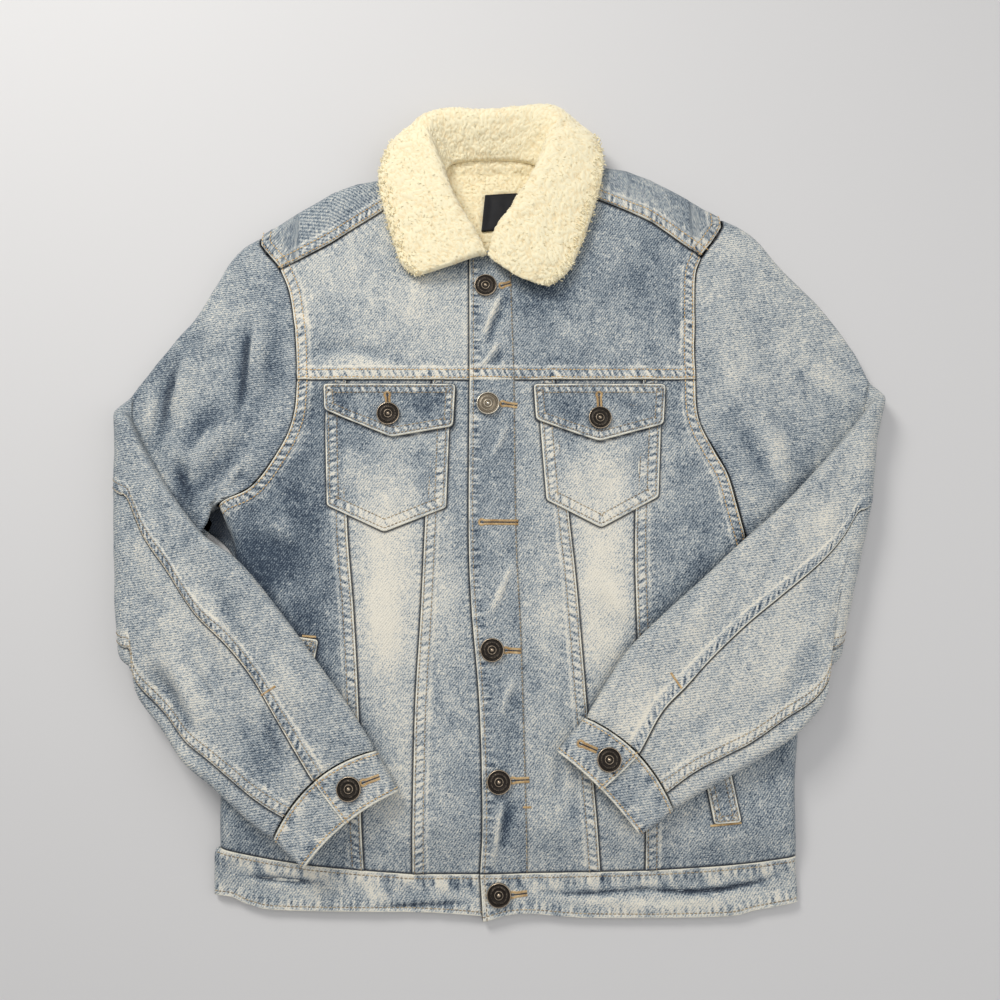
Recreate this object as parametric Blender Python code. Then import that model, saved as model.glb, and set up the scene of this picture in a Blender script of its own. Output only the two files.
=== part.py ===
# A sherpa lined denim jacket, laid flat on its back, buttoned, with both sleeves folded over its front.
# Metres, +Z up, +Y towards the collar. The origin is at the middle of the box, on the surface it lies on.
import math
from collections import namedtuple

import bpy
import numpy as np
from mathutils.geometry import delaunay_2d_cdt

# Driving dimensions.
GAP = 0.0003  # between two pieces at a seam
CLOTH = 0.002  # a denim panel
BAND = 0.003  # a doubled band of denim
PATCH = 0.0017  # a pocket or flap that lies on a panel
SEAT = 0.0005  # a patch above the panel that carries it
BODY_HEIGHT = 0.022  # the fronts, the back and the pile between them
HEM_HEIGHT = 0.0085  # the same at the hem, which holds no pile
HEM_FALL = (-0.285, -0.352)  # the y where the height starts to fall, and where it ends
SIDE_ROUND = 0.011  # how far from the side edge the rounding starts
SEAM_SHARE = 0.51  # the height of the side seam, as a share of the body's
SEAM_LEAST = 0.0056  # and at the least
LINING_LOW = 0.0028  # underside of the back lining
LINING_DROP = 0.0036  # top of the front linings below the face of the fronts
LINING_FALL = 0.12  # how much deeper still they lie towards the hem
LINING_SHARE = 0.5  # the back lining's share of their height
LINING_FALL_END = -0.311  # the lowest y at which they have a row of points of their own
LINING_INSETS = (0.003, 0.013, 0.016)  # their edges inside the seams, the sides and the hem
NECK_LINING = LINING_LOW + LINING_SHARE * (BODY_HEIGHT - LINING_DROP - LINING_LOW)
SLEEVE_WALL = 0.0065  # denim with its padded lining
FOLD_RADIUS = 0.009  # from the crease of a folded sleeve to the middle of its cloth
FOLD_HEIGHT = 0.017  # the crease above the floor
FOLD_THICKNESS = 0.016  # of the sleeve at the crease
FOLD_REACH = FOLD_RADIUS + FOLD_THICKNESS / 2
EDGE_ROOM = 0.0035  # least way from a sleeve's rounded edge to a seam
REST = 0.0026  # a forearm above the panels under it, which clears the welts
ARM_HEIGHT = (0.022, 0.016)  # the upper arm's, near the body and at the elbow
ARM_THINS = (0.26, 0.32)  # how far from the middle it changes from one to the other
ARM_GAP = 0.001  # a forearm above the upper arm
DRAPE_OUT = 0.085  # how far outside an edge a forearm comes down to the floor
DRAPE_FULL = 0.012  # how far outside it the forearm is still held up
CUFF_WALL = 0.0026
CUFF_LAP = 0.026  # how far the cuff's button end runs under its buttonhole end
CUFF_GAP = 0.0004  # between the two ends of a cuff
YOKE_TAIL = 0.0024  # how far the back yoke runs on past its turn, at the neck
COLLAR_HALF = 0.0045  # half the thickness of the collar, pile and all
COLLAR_THINNING = 0.6  # how much of it goes at the edge of the fall
LABEL_HEIGHTS = (0.0004, 0.0014)  # its two faces, above the pile
BUTTON_RADIUS = 0.0105
BUTTON_SIDES = 12
FLAP_LIFT = SEAT + PATCH + GAP  # a flap lies on its pocket
PLACKET_LIFT = 0.0018
BAND_LIFT = 0.0012  # the buttonhole end of the waistband, over the other
BAND_SLOPE = 0.001  # how much it rises under its button
FINE = 0.016  # spacing of points along a seam
COARSE = 0.028  # spacing of points inside a panel
WIDE = 0.045  # the same inside the pile and the back
ARC = 45  # degrees between the points round a sleeve's edge and round its fold

Finish = namedtuple("Finish", "colour roughness metallic")
FINISHES = {
    "denim": Finish((0.25, 0.36, 0.48), 0.9, 0.0),
    "sherpa": Finish((0.85, 0.76, 0.60), 1.0, 0.0),
    "label": Finish((0.02, 0.02, 0.025), 0.7, 0.0),
    "bronze": Finish((0.16, 0.12, 0.09), 0.4, 1.0),
}

# The cutting lines, in plan. Each runs down the garment or from left to right.
LINES = {
    "shoulder_left": ((-0.0625, 0.302), (-0.112, 0.267), (-0.138, 0.250), (-0.161, 0.2345),
                      (-0.2065, 0.2085)),
    "shoulder_right": ((0.049, 0.301), (0.093, 0.279), (0.121, 0.267), (0.145, 0.255), (0.1895, 0.2205)),
    "neck_left": ((-0.0625, 0.302), (-0.057, 0.279), (-0.044, 0.254), (-0.029, 0.236)),
    "neck_centre": ((-0.029, 0.236), (-0.020, 0.2295), (-0.011, 0.227), (-0.001, 0.2300), (0.0095, 0.237)),
    "neck_right": ((0.0095, 0.237), (0.026, 0.253), (0.040, 0.275), (0.049, 0.301)),
    "armhole_high_left": ((-0.2065, 0.2085), (-0.197, 0.185), (-0.1905, 0.150)),
    "armhole_yoke_left": ((-0.1905, 0.150), (-0.189, 0.132), (-0.187, 0.101)),
    "armhole_low_left": ((-0.187, 0.101), (-0.188, 0.073), (-0.193, 0.052), (-0.202, 0.033),
                         (-0.215, 0.012), (-0.228, -0.002), (-0.245, -0.010), (-0.256, -0.016)),
    "armhole_high_right": ((0.1895, 0.2205), (0.183, 0.200), (0.181, 0.150)),
    "armhole_yoke_right": ((0.181, 0.150), (0.180, 0.132), (0.180, 0.101)),
    "armhole_low_right": ((0.180, 0.101), (0.180, 0.075), (0.184, 0.056), (0.195, 0.033),
                          (0.206, 0.012), (0.213, -0.015), (0.221, -0.050)),
    "side_left": ((-0.256, -0.016), (-0.248, -0.034), (-0.240, -0.058), (-0.238, -0.120),
                  (-0.240, -0.200), (-0.242, -0.266), (-0.241, -0.314)),
    "side_right": ((0.221, -0.050), (0.238, -0.080), (0.252, -0.120), (0.260, -0.180), (0.261, -0.215),
                   (0.256, -0.262), (0.255, -0.321)),
    "outer_left": ((-0.142, 0.101), (-0.138, -0.026), (-0.130, -0.110), (-0.123, -0.200), (-0.117, -0.333)),
    "inner_left": ((-0.062, 0.101), (-0.067, -0.026), (-0.070, -0.110), (-0.074, -0.200), (-0.075, -0.336)),
    "edge_high": ((-0.029, 0.236), (-0.028, 0.101)),
    "edge_low": ((-0.028, 0.101), (-0.028, -0.042), (-0.025, -0.111), (-0.019, -0.177), (-0.016, -0.235),
                 (-0.015, -0.295), (-0.017, -0.336)),
    "stitch_high": ((0.0095, 0.237), (0.0135, 0.101)),
    "stitch_low": ((0.0135, 0.101), (0.015, -0.042), (0.019, -0.133), (0.022, -0.242), (0.024, -0.335)),
    "inner_right": ((0.050, 0.101), (0.062, -0.026), (0.068, -0.088), (0.076, -0.200), (0.086, -0.334)),
    "outer_right": ((0.132, 0.101), (0.122, -0.026), (0.121, -0.111), (0.124, -0.200), (0.125, -0.333)),
    "yoke_side_left": ((-0.187, 0.101), (-0.142, 0.101)),
    "yoke_mid_left": ((-0.142, 0.101), (-0.062, 0.101)),
    "yoke_centre_left": ((-0.062, 0.101), (-0.028, 0.101)),
    "yoke_centre_right": ((0.0135, 0.101), (0.050, 0.101)),
    "yoke_mid_right": ((0.050, 0.101), (0.132, 0.101)),
    "yoke_side_right": ((0.132, 0.101), (0.180, 0.101)),
    "hem_side_left": ((-0.241, -0.314), (-0.204, -0.322), (-0.160, -0.329), (-0.117, -0.333)),
    "hem_mid_left": ((-0.117, -0.333), (-0.075, -0.336)),
    "hem_centre_left": ((-0.075, -0.336), (-0.017, -0.336)),
    "hem_placket": ((-0.017, -0.336), (0.024, -0.335)),
    "hem_centre_right": ((0.024, -0.335), (0.086, -0.334)),
    "hem_mid_right": ((0.086, -0.334), (0.125, -0.333)),
    "hem_side_right": ((0.125, -0.333), (0.160, -0.331), (0.211, -0.327), (0.255, -0.321)),
    "band_end_left": ((-0.241, -0.314), (-0.246, -0.318), (-0.2455, -0.353)),
    "band_end_right": ((0.255, -0.321), (0.2555, -0.359)),
    "band_edge": ((-0.017, -0.336), (-0.0145, -0.375)),
    "band_low_left": ((-0.2455, -0.353), (-0.230, -0.355), (-0.212, -0.362), (-0.182, -0.366),
                      (-0.068, -0.3675), (-0.0145, -0.3705)),
    "band_low_right": ((-0.0145, -0.375), (0.017, -0.3685), (0.079, -0.372), (0.187, -0.371),
                       (0.218, -0.366), (0.2555, -0.359)),
    "back_yoke": ((-0.1905, 0.150), (0.181, 0.150)),
}

# The flat pieces of the front. A minus sign runs its line backwards, and each outline goes round to the left.
Panel = namedtuple("Panel", "name thickness lift outline")
FRONT_PANELS = (
    Panel("front_yoke_left", CLOTH, 0, ("shoulder_left", "armhole_high_left", "armhole_yoke_left",
          "yoke_side_left", "yoke_mid_left", "yoke_centre_left", "-edge_high", "-neck_left")),
    Panel("front_yoke_right", CLOTH, 0, ("stitch_high", "yoke_centre_right", "yoke_mid_right",
          "yoke_side_right", "-armhole_yoke_right", "-armhole_high_right", "-shoulder_right", "-neck_right")),
    Panel("front_side_left", CLOTH, 0, ("armhole_low_left", "side_left", "hem_side_left", "-outer_left",
          "-yoke_side_left")),
    Panel("front_mid_left", CLOTH, 0, ("outer_left", "hem_mid_left", "-inner_left", "-yoke_mid_left")),
    Panel("front_centre_left", CLOTH, 0, ("inner_left", "hem_centre_left", "-edge_low", "-yoke_centre_left")),
    Panel("placket", 2 * CLOTH, PLACKET_LIFT, ("edge_high", "edge_low", "hem_placket", "-stitch_low",
          "-stitch_high", "-neck_centre")),
    Panel("front_centre_right", CLOTH, 0, ("stitch_low", "hem_centre_right", "-inner_right",
          "-yoke_centre_right")),
    Panel("front_mid_right", CLOTH, 0, ("inner_right", "hem_mid_right", "-outer_right", "-yoke_mid_right")),
    Panel("front_side_right", CLOTH, 0, ("outer_right", "hem_side_right", "-side_right",
          "-armhole_low_right", "-yoke_side_right")),
    Panel("waistband_left", BAND, 0, ("band_end_left", "band_low_left", "-band_edge", "-hem_centre_left",
          "-hem_mid_left", "-hem_side_left")),
    Panel("waistband_right", BAND, BAND_LIFT, ("band_edge", "band_low_right", "-band_end_right",
          "-hem_side_right", "-hem_mid_right", "-hem_centre_right", "-hem_placket")),
)

# Patches that lie on the fronts, as corners going round to the left. The lift is from the face of the front.
Patch = namedtuple("Patch", "name lift outline")
PATCHES = (
    Patch("pocket_left", SEAT, ((-0.1595, 0.092), (-0.1595, 0.056), (-0.1560, -0.017), (-0.1040, -0.041),
                                (-0.0485, -0.019), (-0.0465, 0.054), (-0.0465, 0.092))),
    Patch("pocket_right", SEAT, ((0.0365, 0.092), (0.037, 0.056), (0.042, -0.012), (0.091, -0.037),
                                 (0.143, -0.009), (0.147, 0.059), (0.147, 0.092))),
    Patch("flap_left", FLAP_LIFT, ((-0.162, 0.0955), (-0.160, 0.071), (-0.099, 0.046),
                                  (-0.043, 0.056), (-0.041, 0.0955))),
    Patch("flap_right", FLAP_LIFT, ((0.031, 0.0955), (0.033, 0.062), (0.090, 0.042),
                                   (0.149, 0.058), (0.152, 0.0955))),
    Patch("welt_left", SEAT, ((-0.180, -0.134), (-0.204, -0.283), (-0.184, -0.287), (-0.160, -0.137))),
    Patch("welt_right", SEAT, ((0.157, -0.146), (0.183, -0.293), (0.206, -0.291), (0.178, -0.143))),
)

# Raised folds: from one end to the other, half width and height.
Fold = namedtuple("Fold", "start end width height")
BODY_FOLDS = (
    Fold((-0.170, 0.118), (-0.085, 0.108), 0.010, 0.0016),
    Fold((-0.215, -0.045), (-0.178, -0.028), 0.013, 0.0022),
    Fold((-0.207, -0.085), (-0.193, -0.110), 0.010, 0.0014),
    Fold((0.105, -0.085), (0.120, -0.118), 0.010, 0.0016),
    Fold((0.046, -0.235), (0.047, -0.270), 0.009, 0.0014),
)
SLEEVE_FOLDS = (
    Fold((-0.300, 0.120), (-0.318, 0.062), 0.013, 0.0026),
    Fold((-0.236, 0.155), (-0.240, 0.090), 0.013, 0.0024),
    Fold((-0.288, 0.030), (-0.222, 0.072), 0.012, 0.0030),
    Fold((0.236, 0.060), (0.262, 0.010), 0.014, 0.0026),
    Fold((0.285, 0.120), (0.318, 0.085), 0.013, 0.0022),
    Fold((-0.290, -0.150), (-0.252, -0.206), 0.013, 0.0024),
    Fold((-0.262, -0.095), (-0.228, -0.160), 0.013, 0.0022),
    Fold((0.262, -0.130), (0.226, -0.182), 0.013, 0.0024),
    Fold((0.196, -0.085), (0.158, -0.140), 0.013, 0.0020),
)

# The back yoke, from left to right: at each x, the y of its lower edge, of the fold at the shoulder and
# of its front edge, and how far round the fold it goes (1 is right over to the front).
YokeColumn = namedtuple("YokeColumn", "x start fold finish turn")
YOKE_COLUMNS = (
    YokeColumn(-0.2256, 0.2330, 0.2450, 0.2330, 1.0),
    YokeColumn(-0.2160, 0.2210, 0.2525, 0.2210, 1.0),
    YokeColumn(-0.2062, 0.2100, 0.2600, 0.2095, 1.0),
    YokeColumn(-0.1962, 0.1860, 0.2670, 0.2150, 1.0),
    YokeColumn(-0.1900, 0.1505, 0.2710, 0.2185, 1.0),
    YokeColumn(-0.1610, 0.1505, 0.2890, 0.2350, 1.0),
    YokeColumn(-0.1380, 0.1505, 0.2985, 0.2505, 1.0),
    YokeColumn(-0.1120, 0.1505, 0.3040, 0.2675, 1.0),
    YokeColumn(-0.0880, 0.1505, 0.3100, 0.2845, 1.0),
    YokeColumn(-0.0680, 0.1505, 0.3130, 0.2985, 1.0),
    YokeColumn(-0.0620, 0.1505, 0.3140, 0.3060, 0.30),
    YokeColumn(-0.0570, 0.1505, 0.3150, 0.3140, 0.06),
    YokeColumn(-0.0080, 0.1505, 0.3165, 0.3160, 0.06),
    YokeColumn(0.0440, 0.1505, 0.3150, 0.3140, 0.06),
    YokeColumn(0.0490, 0.1505, 0.3150, 0.3080, 0.30),
    YokeColumn(0.0550, 0.1505, 0.3170, 0.2995, 1.0),
    YokeColumn(0.0700, 0.1505, 0.3180, 0.2920, 1.0),
    YokeColumn(0.0930, 0.1505, 0.3170, 0.2800, 1.0),
    YokeColumn(0.1210, 0.1505, 0.3130, 0.2680, 1.0),
    YokeColumn(0.1450, 0.1505, 0.3030, 0.2560, 1.0),
    YokeColumn(0.1800, 0.1505, 0.2830, 0.2290, 1.0),
    YokeColumn(0.1826, 0.2010, 0.2810, 0.2275, 1.0),
    YokeColumn(0.1892, 0.2215, 0.2770, 0.2225, 1.0),
    YokeColumn(0.2000, 0.2360, 0.2700, 0.2360, 1.0),
    YokeColumn(0.2094, 0.2510, 0.2640, 0.2510, 1.0),
)

# The collar, from the left front round the back to the right front: its neck seam, the top of its roll,
# the outermost part of its fall and the fall's edge, along the middle of its thickness.
CollarRow = namedtuple("CollarRow", "neck roll side edge")
COLLAR_ROWS = (
    CollarRow((-0.0125, 0.219, 0.03), (-0.0235, 0.215, 0.0345),
              (-0.048, 0.206, 0.0345), (-0.077, 0.198, 0.03)),
    CollarRow((-0.0225, 0.235, 0.0265), (-0.031, 0.239, 0.037),
              (-0.062, 0.223, 0.035), (-0.091, 0.208, 0.029)),
    CollarRow((-0.0365, 0.255, 0.0158), (-0.0455, 0.267, 0.039),
              (-0.074, 0.25, 0.036), (-0.1005, 0.233, 0.0285)),
    CollarRow((-0.0475, 0.277, 0.0156), (-0.056, 0.292, 0.04),
              (-0.083, 0.279, 0.037), (-0.1095, 0.264, 0.0285)),
    CollarRow((-0.053, 0.296, 0.0156), (-0.063, 0.313, 0.04),
              (-0.09, 0.303, 0.037), (-0.1155, 0.294, 0.0285)),
    CollarRow((-0.0535, 0.3075, 0.0156), (-0.069, 0.333, 0.039),
              (-0.094, 0.327, 0.0355), (-0.111, 0.319, 0.025)),
    CollarRow((-0.048, 0.317, 0.0156), (-0.068, 0.348, 0.036),
              (-0.09, 0.344, 0.027), (-0.097, 0.339, 0.013)),
    CollarRow((-0.035, 0.321, 0.0152), (-0.05, 0.356, 0.0335),
              (-0.061, 0.3655, 0.02), (-0.058, 0.345, 0.0044)),
    CollarRow((-0.008, 0.322, 0.0152), (-0.007, 0.357, 0.033),
              (-0.007, 0.3655, 0.019), (-0.007, 0.342, 0.0044)),
    CollarRow((0.019, 0.321, 0.0152), (0.037, 0.36, 0.0335),
              (0.05, 0.3704, 0.02), (0.047, 0.348, 0.0044)),
    CollarRow((0.033, 0.317, 0.0156), (0.053, 0.351, 0.036),
              (0.076, 0.348, 0.027), (0.083, 0.344, 0.013)),
    CollarRow((0.0395, 0.307, 0.0156), (0.05, 0.337, 0.039),
              (0.078, 0.335, 0.035), (0.0975, 0.327, 0.025)),
    CollarRow((0.0385, 0.295, 0.0156), (0.043, 0.315, 0.04),
              (0.071, 0.306, 0.037), (0.097, 0.297, 0.0285)),
    CollarRow((0.031, 0.275, 0.0156), (0.033, 0.292, 0.04),
              (0.062, 0.277, 0.037), (0.0885, 0.265, 0.029)),
    CollarRow((0.0175, 0.254, 0.0158), (0.017, 0.266, 0.039),
              (0.046, 0.245, 0.036), (0.077, 0.231, 0.0295)),
    CollarRow((0.0015, 0.236, 0.0265), (0.0, 0.239, 0.037),
              (0.03, 0.219, 0.036), (0.064, 0.203, 0.03)),
    CollarRow((-0.01, 0.219, 0.03), (-0.003, 0.2095, 0.035),
              (0.018, 0.195, 0.0355), (0.045, 0.1875, 0.031)),
)

# The sleeves, from the armhole to the crease at the elbow and on to the cuff. Each row is the sleeve's
# upper edge, its lower edge, how much of the armhole's curve it keeps, its thickness, and how far from
# the upper edge its two seams lie, as shares of its width.
SleeveRow = namedtuple("SleeveRow", "upper lower bow thickness back_seam under_seam")
Section = namedtuple("Section", "kind angle line thickness back_seam under_seam")
ARMHOLES = {
    "left": ((-0.2275, 0.2440), (-0.2265, 0.2305), (-0.2165, 0.2190), (-0.2070, 0.2083), (-0.1975, 0.1850),
             (-0.1910, 0.1500), (-0.1894, 0.1320), (-0.1874, 0.1010), (-0.1884, 0.0728), (-0.1934, 0.0517),
             (-0.2027, 0.0330), (-0.2160, 0.0125), (-0.2292, -0.0012), (-0.2456, -0.0092),
             (-0.2580, -0.0155)),
    "right": ((0.2118, 0.2625), (0.2112, 0.2487), (0.2009, 0.2345), (0.1900, 0.2203), (0.1835, 0.2000),
              (0.1815, 0.1500), (0.1805, 0.1320), (0.1805, 0.1010), (0.1805, 0.0752), (0.1845, 0.0563),
              (0.1967, 0.0338), (0.2080, 0.0128), (0.2147, -0.0146), (0.2226, -0.0500)),
}
UPPER_ARMS = {
    "left": (
        SleeveRow((-0.2275, 0.2440), (-0.2580, -0.0155), 1.0, 0.022, 0.40, 0.93),
        SleeveRow((-0.2480, 0.2290), (-0.2730, -0.0300), 0.55, 0.022, 0.39, 0.93),
        SleeveRow((-0.2660, 0.1990), (-0.2800, -0.0660), 0.36, 0.021, 0.38, 0.93),
        SleeveRow((-0.2850, 0.1660), (-0.2890, -0.0940), 0.20, 0.019, 0.37, 0.93),
        SleeveRow((-0.3050, 0.1410), (-0.2980, -0.1180), 0.10, 0.017, 0.36, 0.93),
        SleeveRow((-0.3250, 0.1150), (-0.3070, -0.1330), 0.0, 0.016, 0.36, 0.93),
    ),
    "right": (
        SleeveRow((0.2118, 0.2625), (0.2226, -0.0500), 1.0, 0.022, 0.46, 0.93),
        SleeveRow((0.2380, 0.2470), (0.2380, -0.0640), 0.72, 0.022, 0.46, 0.93),
        SleeveRow((0.2640, 0.2160), (0.2510, -0.0780), 0.45, 0.021, 0.45, 0.93),
        SleeveRow((0.2890, 0.1890), (0.2610, -0.0960), 0.25, 0.019, 0.45, 0.93),
        SleeveRow((0.3110, 0.1630), (0.2680, -0.1160), 0.10, 0.017, 0.44, 0.93),
        SleeveRow((0.3320, 0.1310), (0.2750, -0.1330), 0.0, 0.016, 0.44, 0.93),
    ),
}
# The crease at each elbow, where it leaves the upper arm and where it reaches the forearm over it.
CREASES = {
    "left": (
        ((-0.3405, 0.0920), (-0.3345, 0.0150), (-0.3290, -0.0650), (-0.3210, -0.1200), (-0.3150, -0.1450)),
        ((-0.3365, 0.0620), (-0.3335, 0.0100), (-0.3295, -0.0650), (-0.3235, -0.1260), (-0.3195, -0.1620)),
    ),
    "right": (
        ((0.3420, 0.1060), (0.3280, 0.0450), (0.3190, -0.0150), (0.3060, -0.0650), (0.2920, -0.1150),
         (0.2850, -0.1450)),
        ((0.3380, 0.0760), (0.3255, 0.0300), (0.3190, -0.0200), (0.3055, -0.0700), (0.2900, -0.1250),
         (0.2810, -0.1640)),
    ),
}
FOREARMS = {
    "left": (
        SleeveRow((-0.3190, 0.0290), (-0.3150, -0.1880), 0.0, 0.016, 0.33, 0.93),
        SleeveRow((-0.2940, -0.0080), (-0.2920, -0.2150), 0.0, 0.016, 0.33, 0.92),
        SleeveRow((-0.2640, -0.0440), (-0.2690, -0.2400), 0.0, 0.016, 0.36, 0.91),
        SleeveRow((-0.2310, -0.0680), (-0.2480, -0.2580), 0.0, 0.016, 0.38, 0.90),
        SleeveRow((-0.1960, -0.1080), (-0.2320, -0.2720), 0.0, 0.015, 0.40, 0.89),
        SleeveRow((-0.1610, -0.1530), (-0.2170, -0.2850), 0.004, 0.015, 0.43, 0.87),
        SleeveRow((-0.1310, -0.1930), (-0.2040, -0.2950), 0.009, 0.014, 0.46, 0.85),
        SleeveRow((-0.1065, -0.2300), (-0.1915, -0.3030), 0.014, 0.014, 0.50, 0.83),
    ),
    "right": (
        SleeveRow((0.3170, 0.0500), (0.2800, -0.1870), 0.0, 0.016, 0.42, 0.93),
        SleeveRow((0.2850, 0.0150), (0.2650, -0.2070), 0.0, 0.016, 0.40, 0.92),
        SleeveRow((0.2490, -0.0210), (0.2400, -0.2260), 0.0, 0.016, 0.38, 0.90),
        SleeveRow((0.2130, -0.0520), (0.2150, -0.2420), 0.0, 0.016, 0.38, 0.90),
        SleeveRow((0.1770, -0.0850), (0.1920, -0.2540), 0.0, 0.015, 0.40, 0.89),
        SleeveRow((0.1430, -0.1150), (0.1740, -0.2640), 0.004, 0.015, 0.42, 0.87),
        SleeveRow((0.1080, -0.1500), (0.1600, -0.2720), 0.009, 0.014, 0.43, 0.86),
        SleeveRow((0.0740, -0.2030), (0.1475, -0.2800), 0.011, 0.014, 0.49, 0.85),
    ),
}
# The cuffs: at the seam, half way and at the mouth, the two edges, the bow and the thickness.
CuffRow = namedtuple("CuffRow", "upper lower bow thickness")
CUFFS = {
    "left": (
        CuffRow((-0.1057, -0.2309), (-0.1907, -0.3040), 0.014, 0.0145),
        CuffRow((-0.0960, -0.2475), (-0.1790, -0.3160), 0.011, 0.0155),
        CuffRow((-0.0855, -0.2640), (-0.1650, -0.3280), 0.007, 0.0170),
    ),
    "right": (
        CuffRow((0.0732, -0.2038), (0.1467, -0.2809), 0.011, 0.0145),
        CuffRow((0.0610, -0.2175), (0.1330, -0.2915), 0.008, 0.0155),
        CuffRow((0.0485, -0.2315), (0.1175, -0.3005), 0.004, 0.0170),
    ),
}

# Metal buttons: where each stands, and what carries it.
Button = namedtuple("Button", "x y carrier")
BUTTONS = (
    Button(-0.0135, 0.1910, "placket"),
    Button(-0.0110, 0.0770, "placket"),
    Button(-0.0070, -0.1460, "placket"),
    Button(-0.0010, -0.2580, "placket"),
    Button(-0.0010, -0.3525, "waistband"),
    Button(-0.1020, 0.0670, "flap"),
    Button(0.0910, 0.0630, "flap"),
    Button(-0.1270, -0.2620, "cuff_left"),
    Button(0.0920, -0.2380, "cuff_right"),
)
LABEL = ((-0.0180, 0.2510), (0.0060, 0.2535), (0.0215, 0.2790), (0.0245, 0.2915), (-0.0145, 0.2890))
BUTTON_PROFILE = ((0.0042, 0.0), (0.0044, 0.0013), (BUTTON_RADIUS, 0.0022), (0.0100, 0.0042),
                  (0.0072, 0.0036), (0.0024, 0.0050))


# ---- curves and distances -------------------------------------------------------------------------

def through(points, step):
    """Points about a step apart on a smooth curve through the given ones."""
    points = np.array(points, float)
    if len(points) == 2:
        count = max(1, round(float(np.linalg.norm(points[1] - points[0])) / step))
        return points[0] + np.linspace(0, 1, count + 1)[:, None] * (points[1] - points[0])
    padded = np.vstack([2 * points[0] - points[1], points, 2 * points[-1] - points[-2]])
    out = []
    for a, b, c, d in zip(padded, padded[1:], padded[2:], padded[3:]):
        count = max(1, round(float(np.linalg.norm(c - b)) / step))
        for t in np.arange(count) / count:
            out.append(0.5 * (2 * b + (c - a) * t + (2 * a - 5 * b + 4 * c - d) * t**2
                              + (3 * b - a - 3 * c + d) * t**3))
    return np.array(out + [points[-1]])


def at_share(line, share):
    """The points at shares of a line's length."""
    steps = np.linalg.norm(np.diff(line, axis=0), axis=1)
    along = np.concatenate([[0], np.cumsum(steps)])
    wanted = np.asarray(share) * along[-1]
    return np.stack([np.interp(wanted, along, line[:, k]) for k in range(line.shape[1])], axis=-1)


def length_of(line):
    return float(np.linalg.norm(np.diff(line, axis=0), axis=1).sum())


def distance_to(points, line):
    """How far each point is from a line."""
    a, b = line[:-1], line[1:]
    span = b - a
    rel = points[:, None, :] - a[None]
    t = np.clip((rel * span).sum(2) / np.maximum((span**2).sum(1), 1e-12), 0, 1)
    return np.linalg.norm(rel - t[..., None] * span, axis=2).min(1)


def inside(points, outline):
    """Whether each point is inside a closed outline."""
    x, y = points[:, 0][:, None], points[:, 1][:, None]
    a, b = outline, np.roll(outline, -1, axis=0)
    crosses = (a[:, 1] > y) != (b[:, 1] > y)
    rise = np.where(np.abs(b[:, 1] - a[:, 1]) < 1e-12, 1e-12, b[:, 1] - a[:, 1])
    at = a[:, 0] + (y - a[:, 1]) / rise * (b[:, 0] - a[:, 0])
    return (crosses & (x < at)).sum(1) % 2 == 1


def depth_inside(points, outline):
    """How deep each point lies inside an outline, and below zero outside it."""
    away = distance_to(points, np.vstack([outline, outline[:1]]))
    return np.where(inside(points, outline), away, -away)


def ease(t):
    t = np.clip(t, 0, 1)
    return t * t * (3 - 2 * t)


def shrink(outline, by):
    """An outline moved inwards."""
    before, after = outline - np.roll(outline, 1, axis=0), np.roll(outline, -1, axis=0) - outline
    turn = [np.stack([-v[:, 1], v[:, 0]], 1) / np.linalg.norm(v, axis=1)[:, None] for v in (before, after)]
    normal = turn[0] + turn[1]
    length = np.maximum((normal**2).sum(1) / 2, 0.35)
    return outline + by * normal / length[:, None]


def outline_of(names):
    """A closed outline from cutting lines, in the order they are met."""
    runs = []
    for name in names:
        run = through(LINES[name.lstrip("-")], FINE)
        run = run[::-1] if name.startswith("-") else run
        runs.append(run[:-1])
    return np.vstack(runs)


def straight_sides(corners):
    """A closed outline through corners joined by straight lines."""
    corners = np.array(corners)
    return np.vstack([through((a, b), COARSE)[:-1] for a, b in zip(corners, np.roll(corners, -1, axis=0))])


# ---- the form of the laid jacket ------------------------------------------------------------------

def body_height(y):
    start, end = HEM_FALL
    return BODY_HEIGHT + (HEM_HEIGHT - BODY_HEIGHT) * ease((y - start) / (end - start))


def side_height(height):
    return np.maximum(SEAM_SHARE * height, SEAM_LEAST)


def side_rounding(points):
    """0 at the side edges, 1 from the rounding inwards."""
    away = np.minimum(distance_to(points, SIDE_EDGES[0]), distance_to(points, SIDE_EDGES[1]))
    return np.sqrt(1 - (1 - np.clip(away / SIDE_ROUND, 0, 1)) ** 2)


def fold_height(points, folds):
    raised = np.zeros(len(points))
    for fold in folds:
        away = distance_to(points, np.array([fold.start, fold.end]))
        raised += fold.height * ease(1 - away / (1.6 * fold.width))
    return raised


def front_face(points):
    """The height of the outside of the fronts."""
    height = body_height(points[:, 1])
    edge = side_height(height)
    return edge + (height - edge) * side_rounding(points) + fold_height(points, BODY_FOLDS)


def back_face(points, walls):
    """The height of the outside of the back, flat but for its rounded sides, under walls this thick."""
    edge = side_height(body_height(points[:, 1])) - walls - GAP
    return np.maximum(edge, 0) * (1 - side_rounding(points))


def lining_height(points, share):
    """A height in the pile, from the underside of the back lining to the top of the front ones."""
    height = body_height(points[:, 1])
    top = height - LINING_DROP - LINING_FALL * (BODY_HEIGHT - height)
    return LINING_LOW + share * (top - LINING_LOW)


def support(points, arm):
    """What holds a forearm up: the body and the upper arm under it, with cloth bridging their edges."""
    on_body = ease((depth_inside(points, BODY_OUTLINE) + DRAPE_OUT) / (DRAPE_OUT - DRAPE_FULL))
    on_arm = ease((depth_inside(points, arm) + DRAPE_OUT) / (DRAPE_OUT - DRAPE_FULL))
    arm_height = np.interp(np.abs(points[:, 0]), ARM_THINS, ARM_HEIGHT)
    return np.maximum(on_body * (BODY_HEIGHT + REST), on_arm * (arm_height + ARM_GAP))


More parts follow.
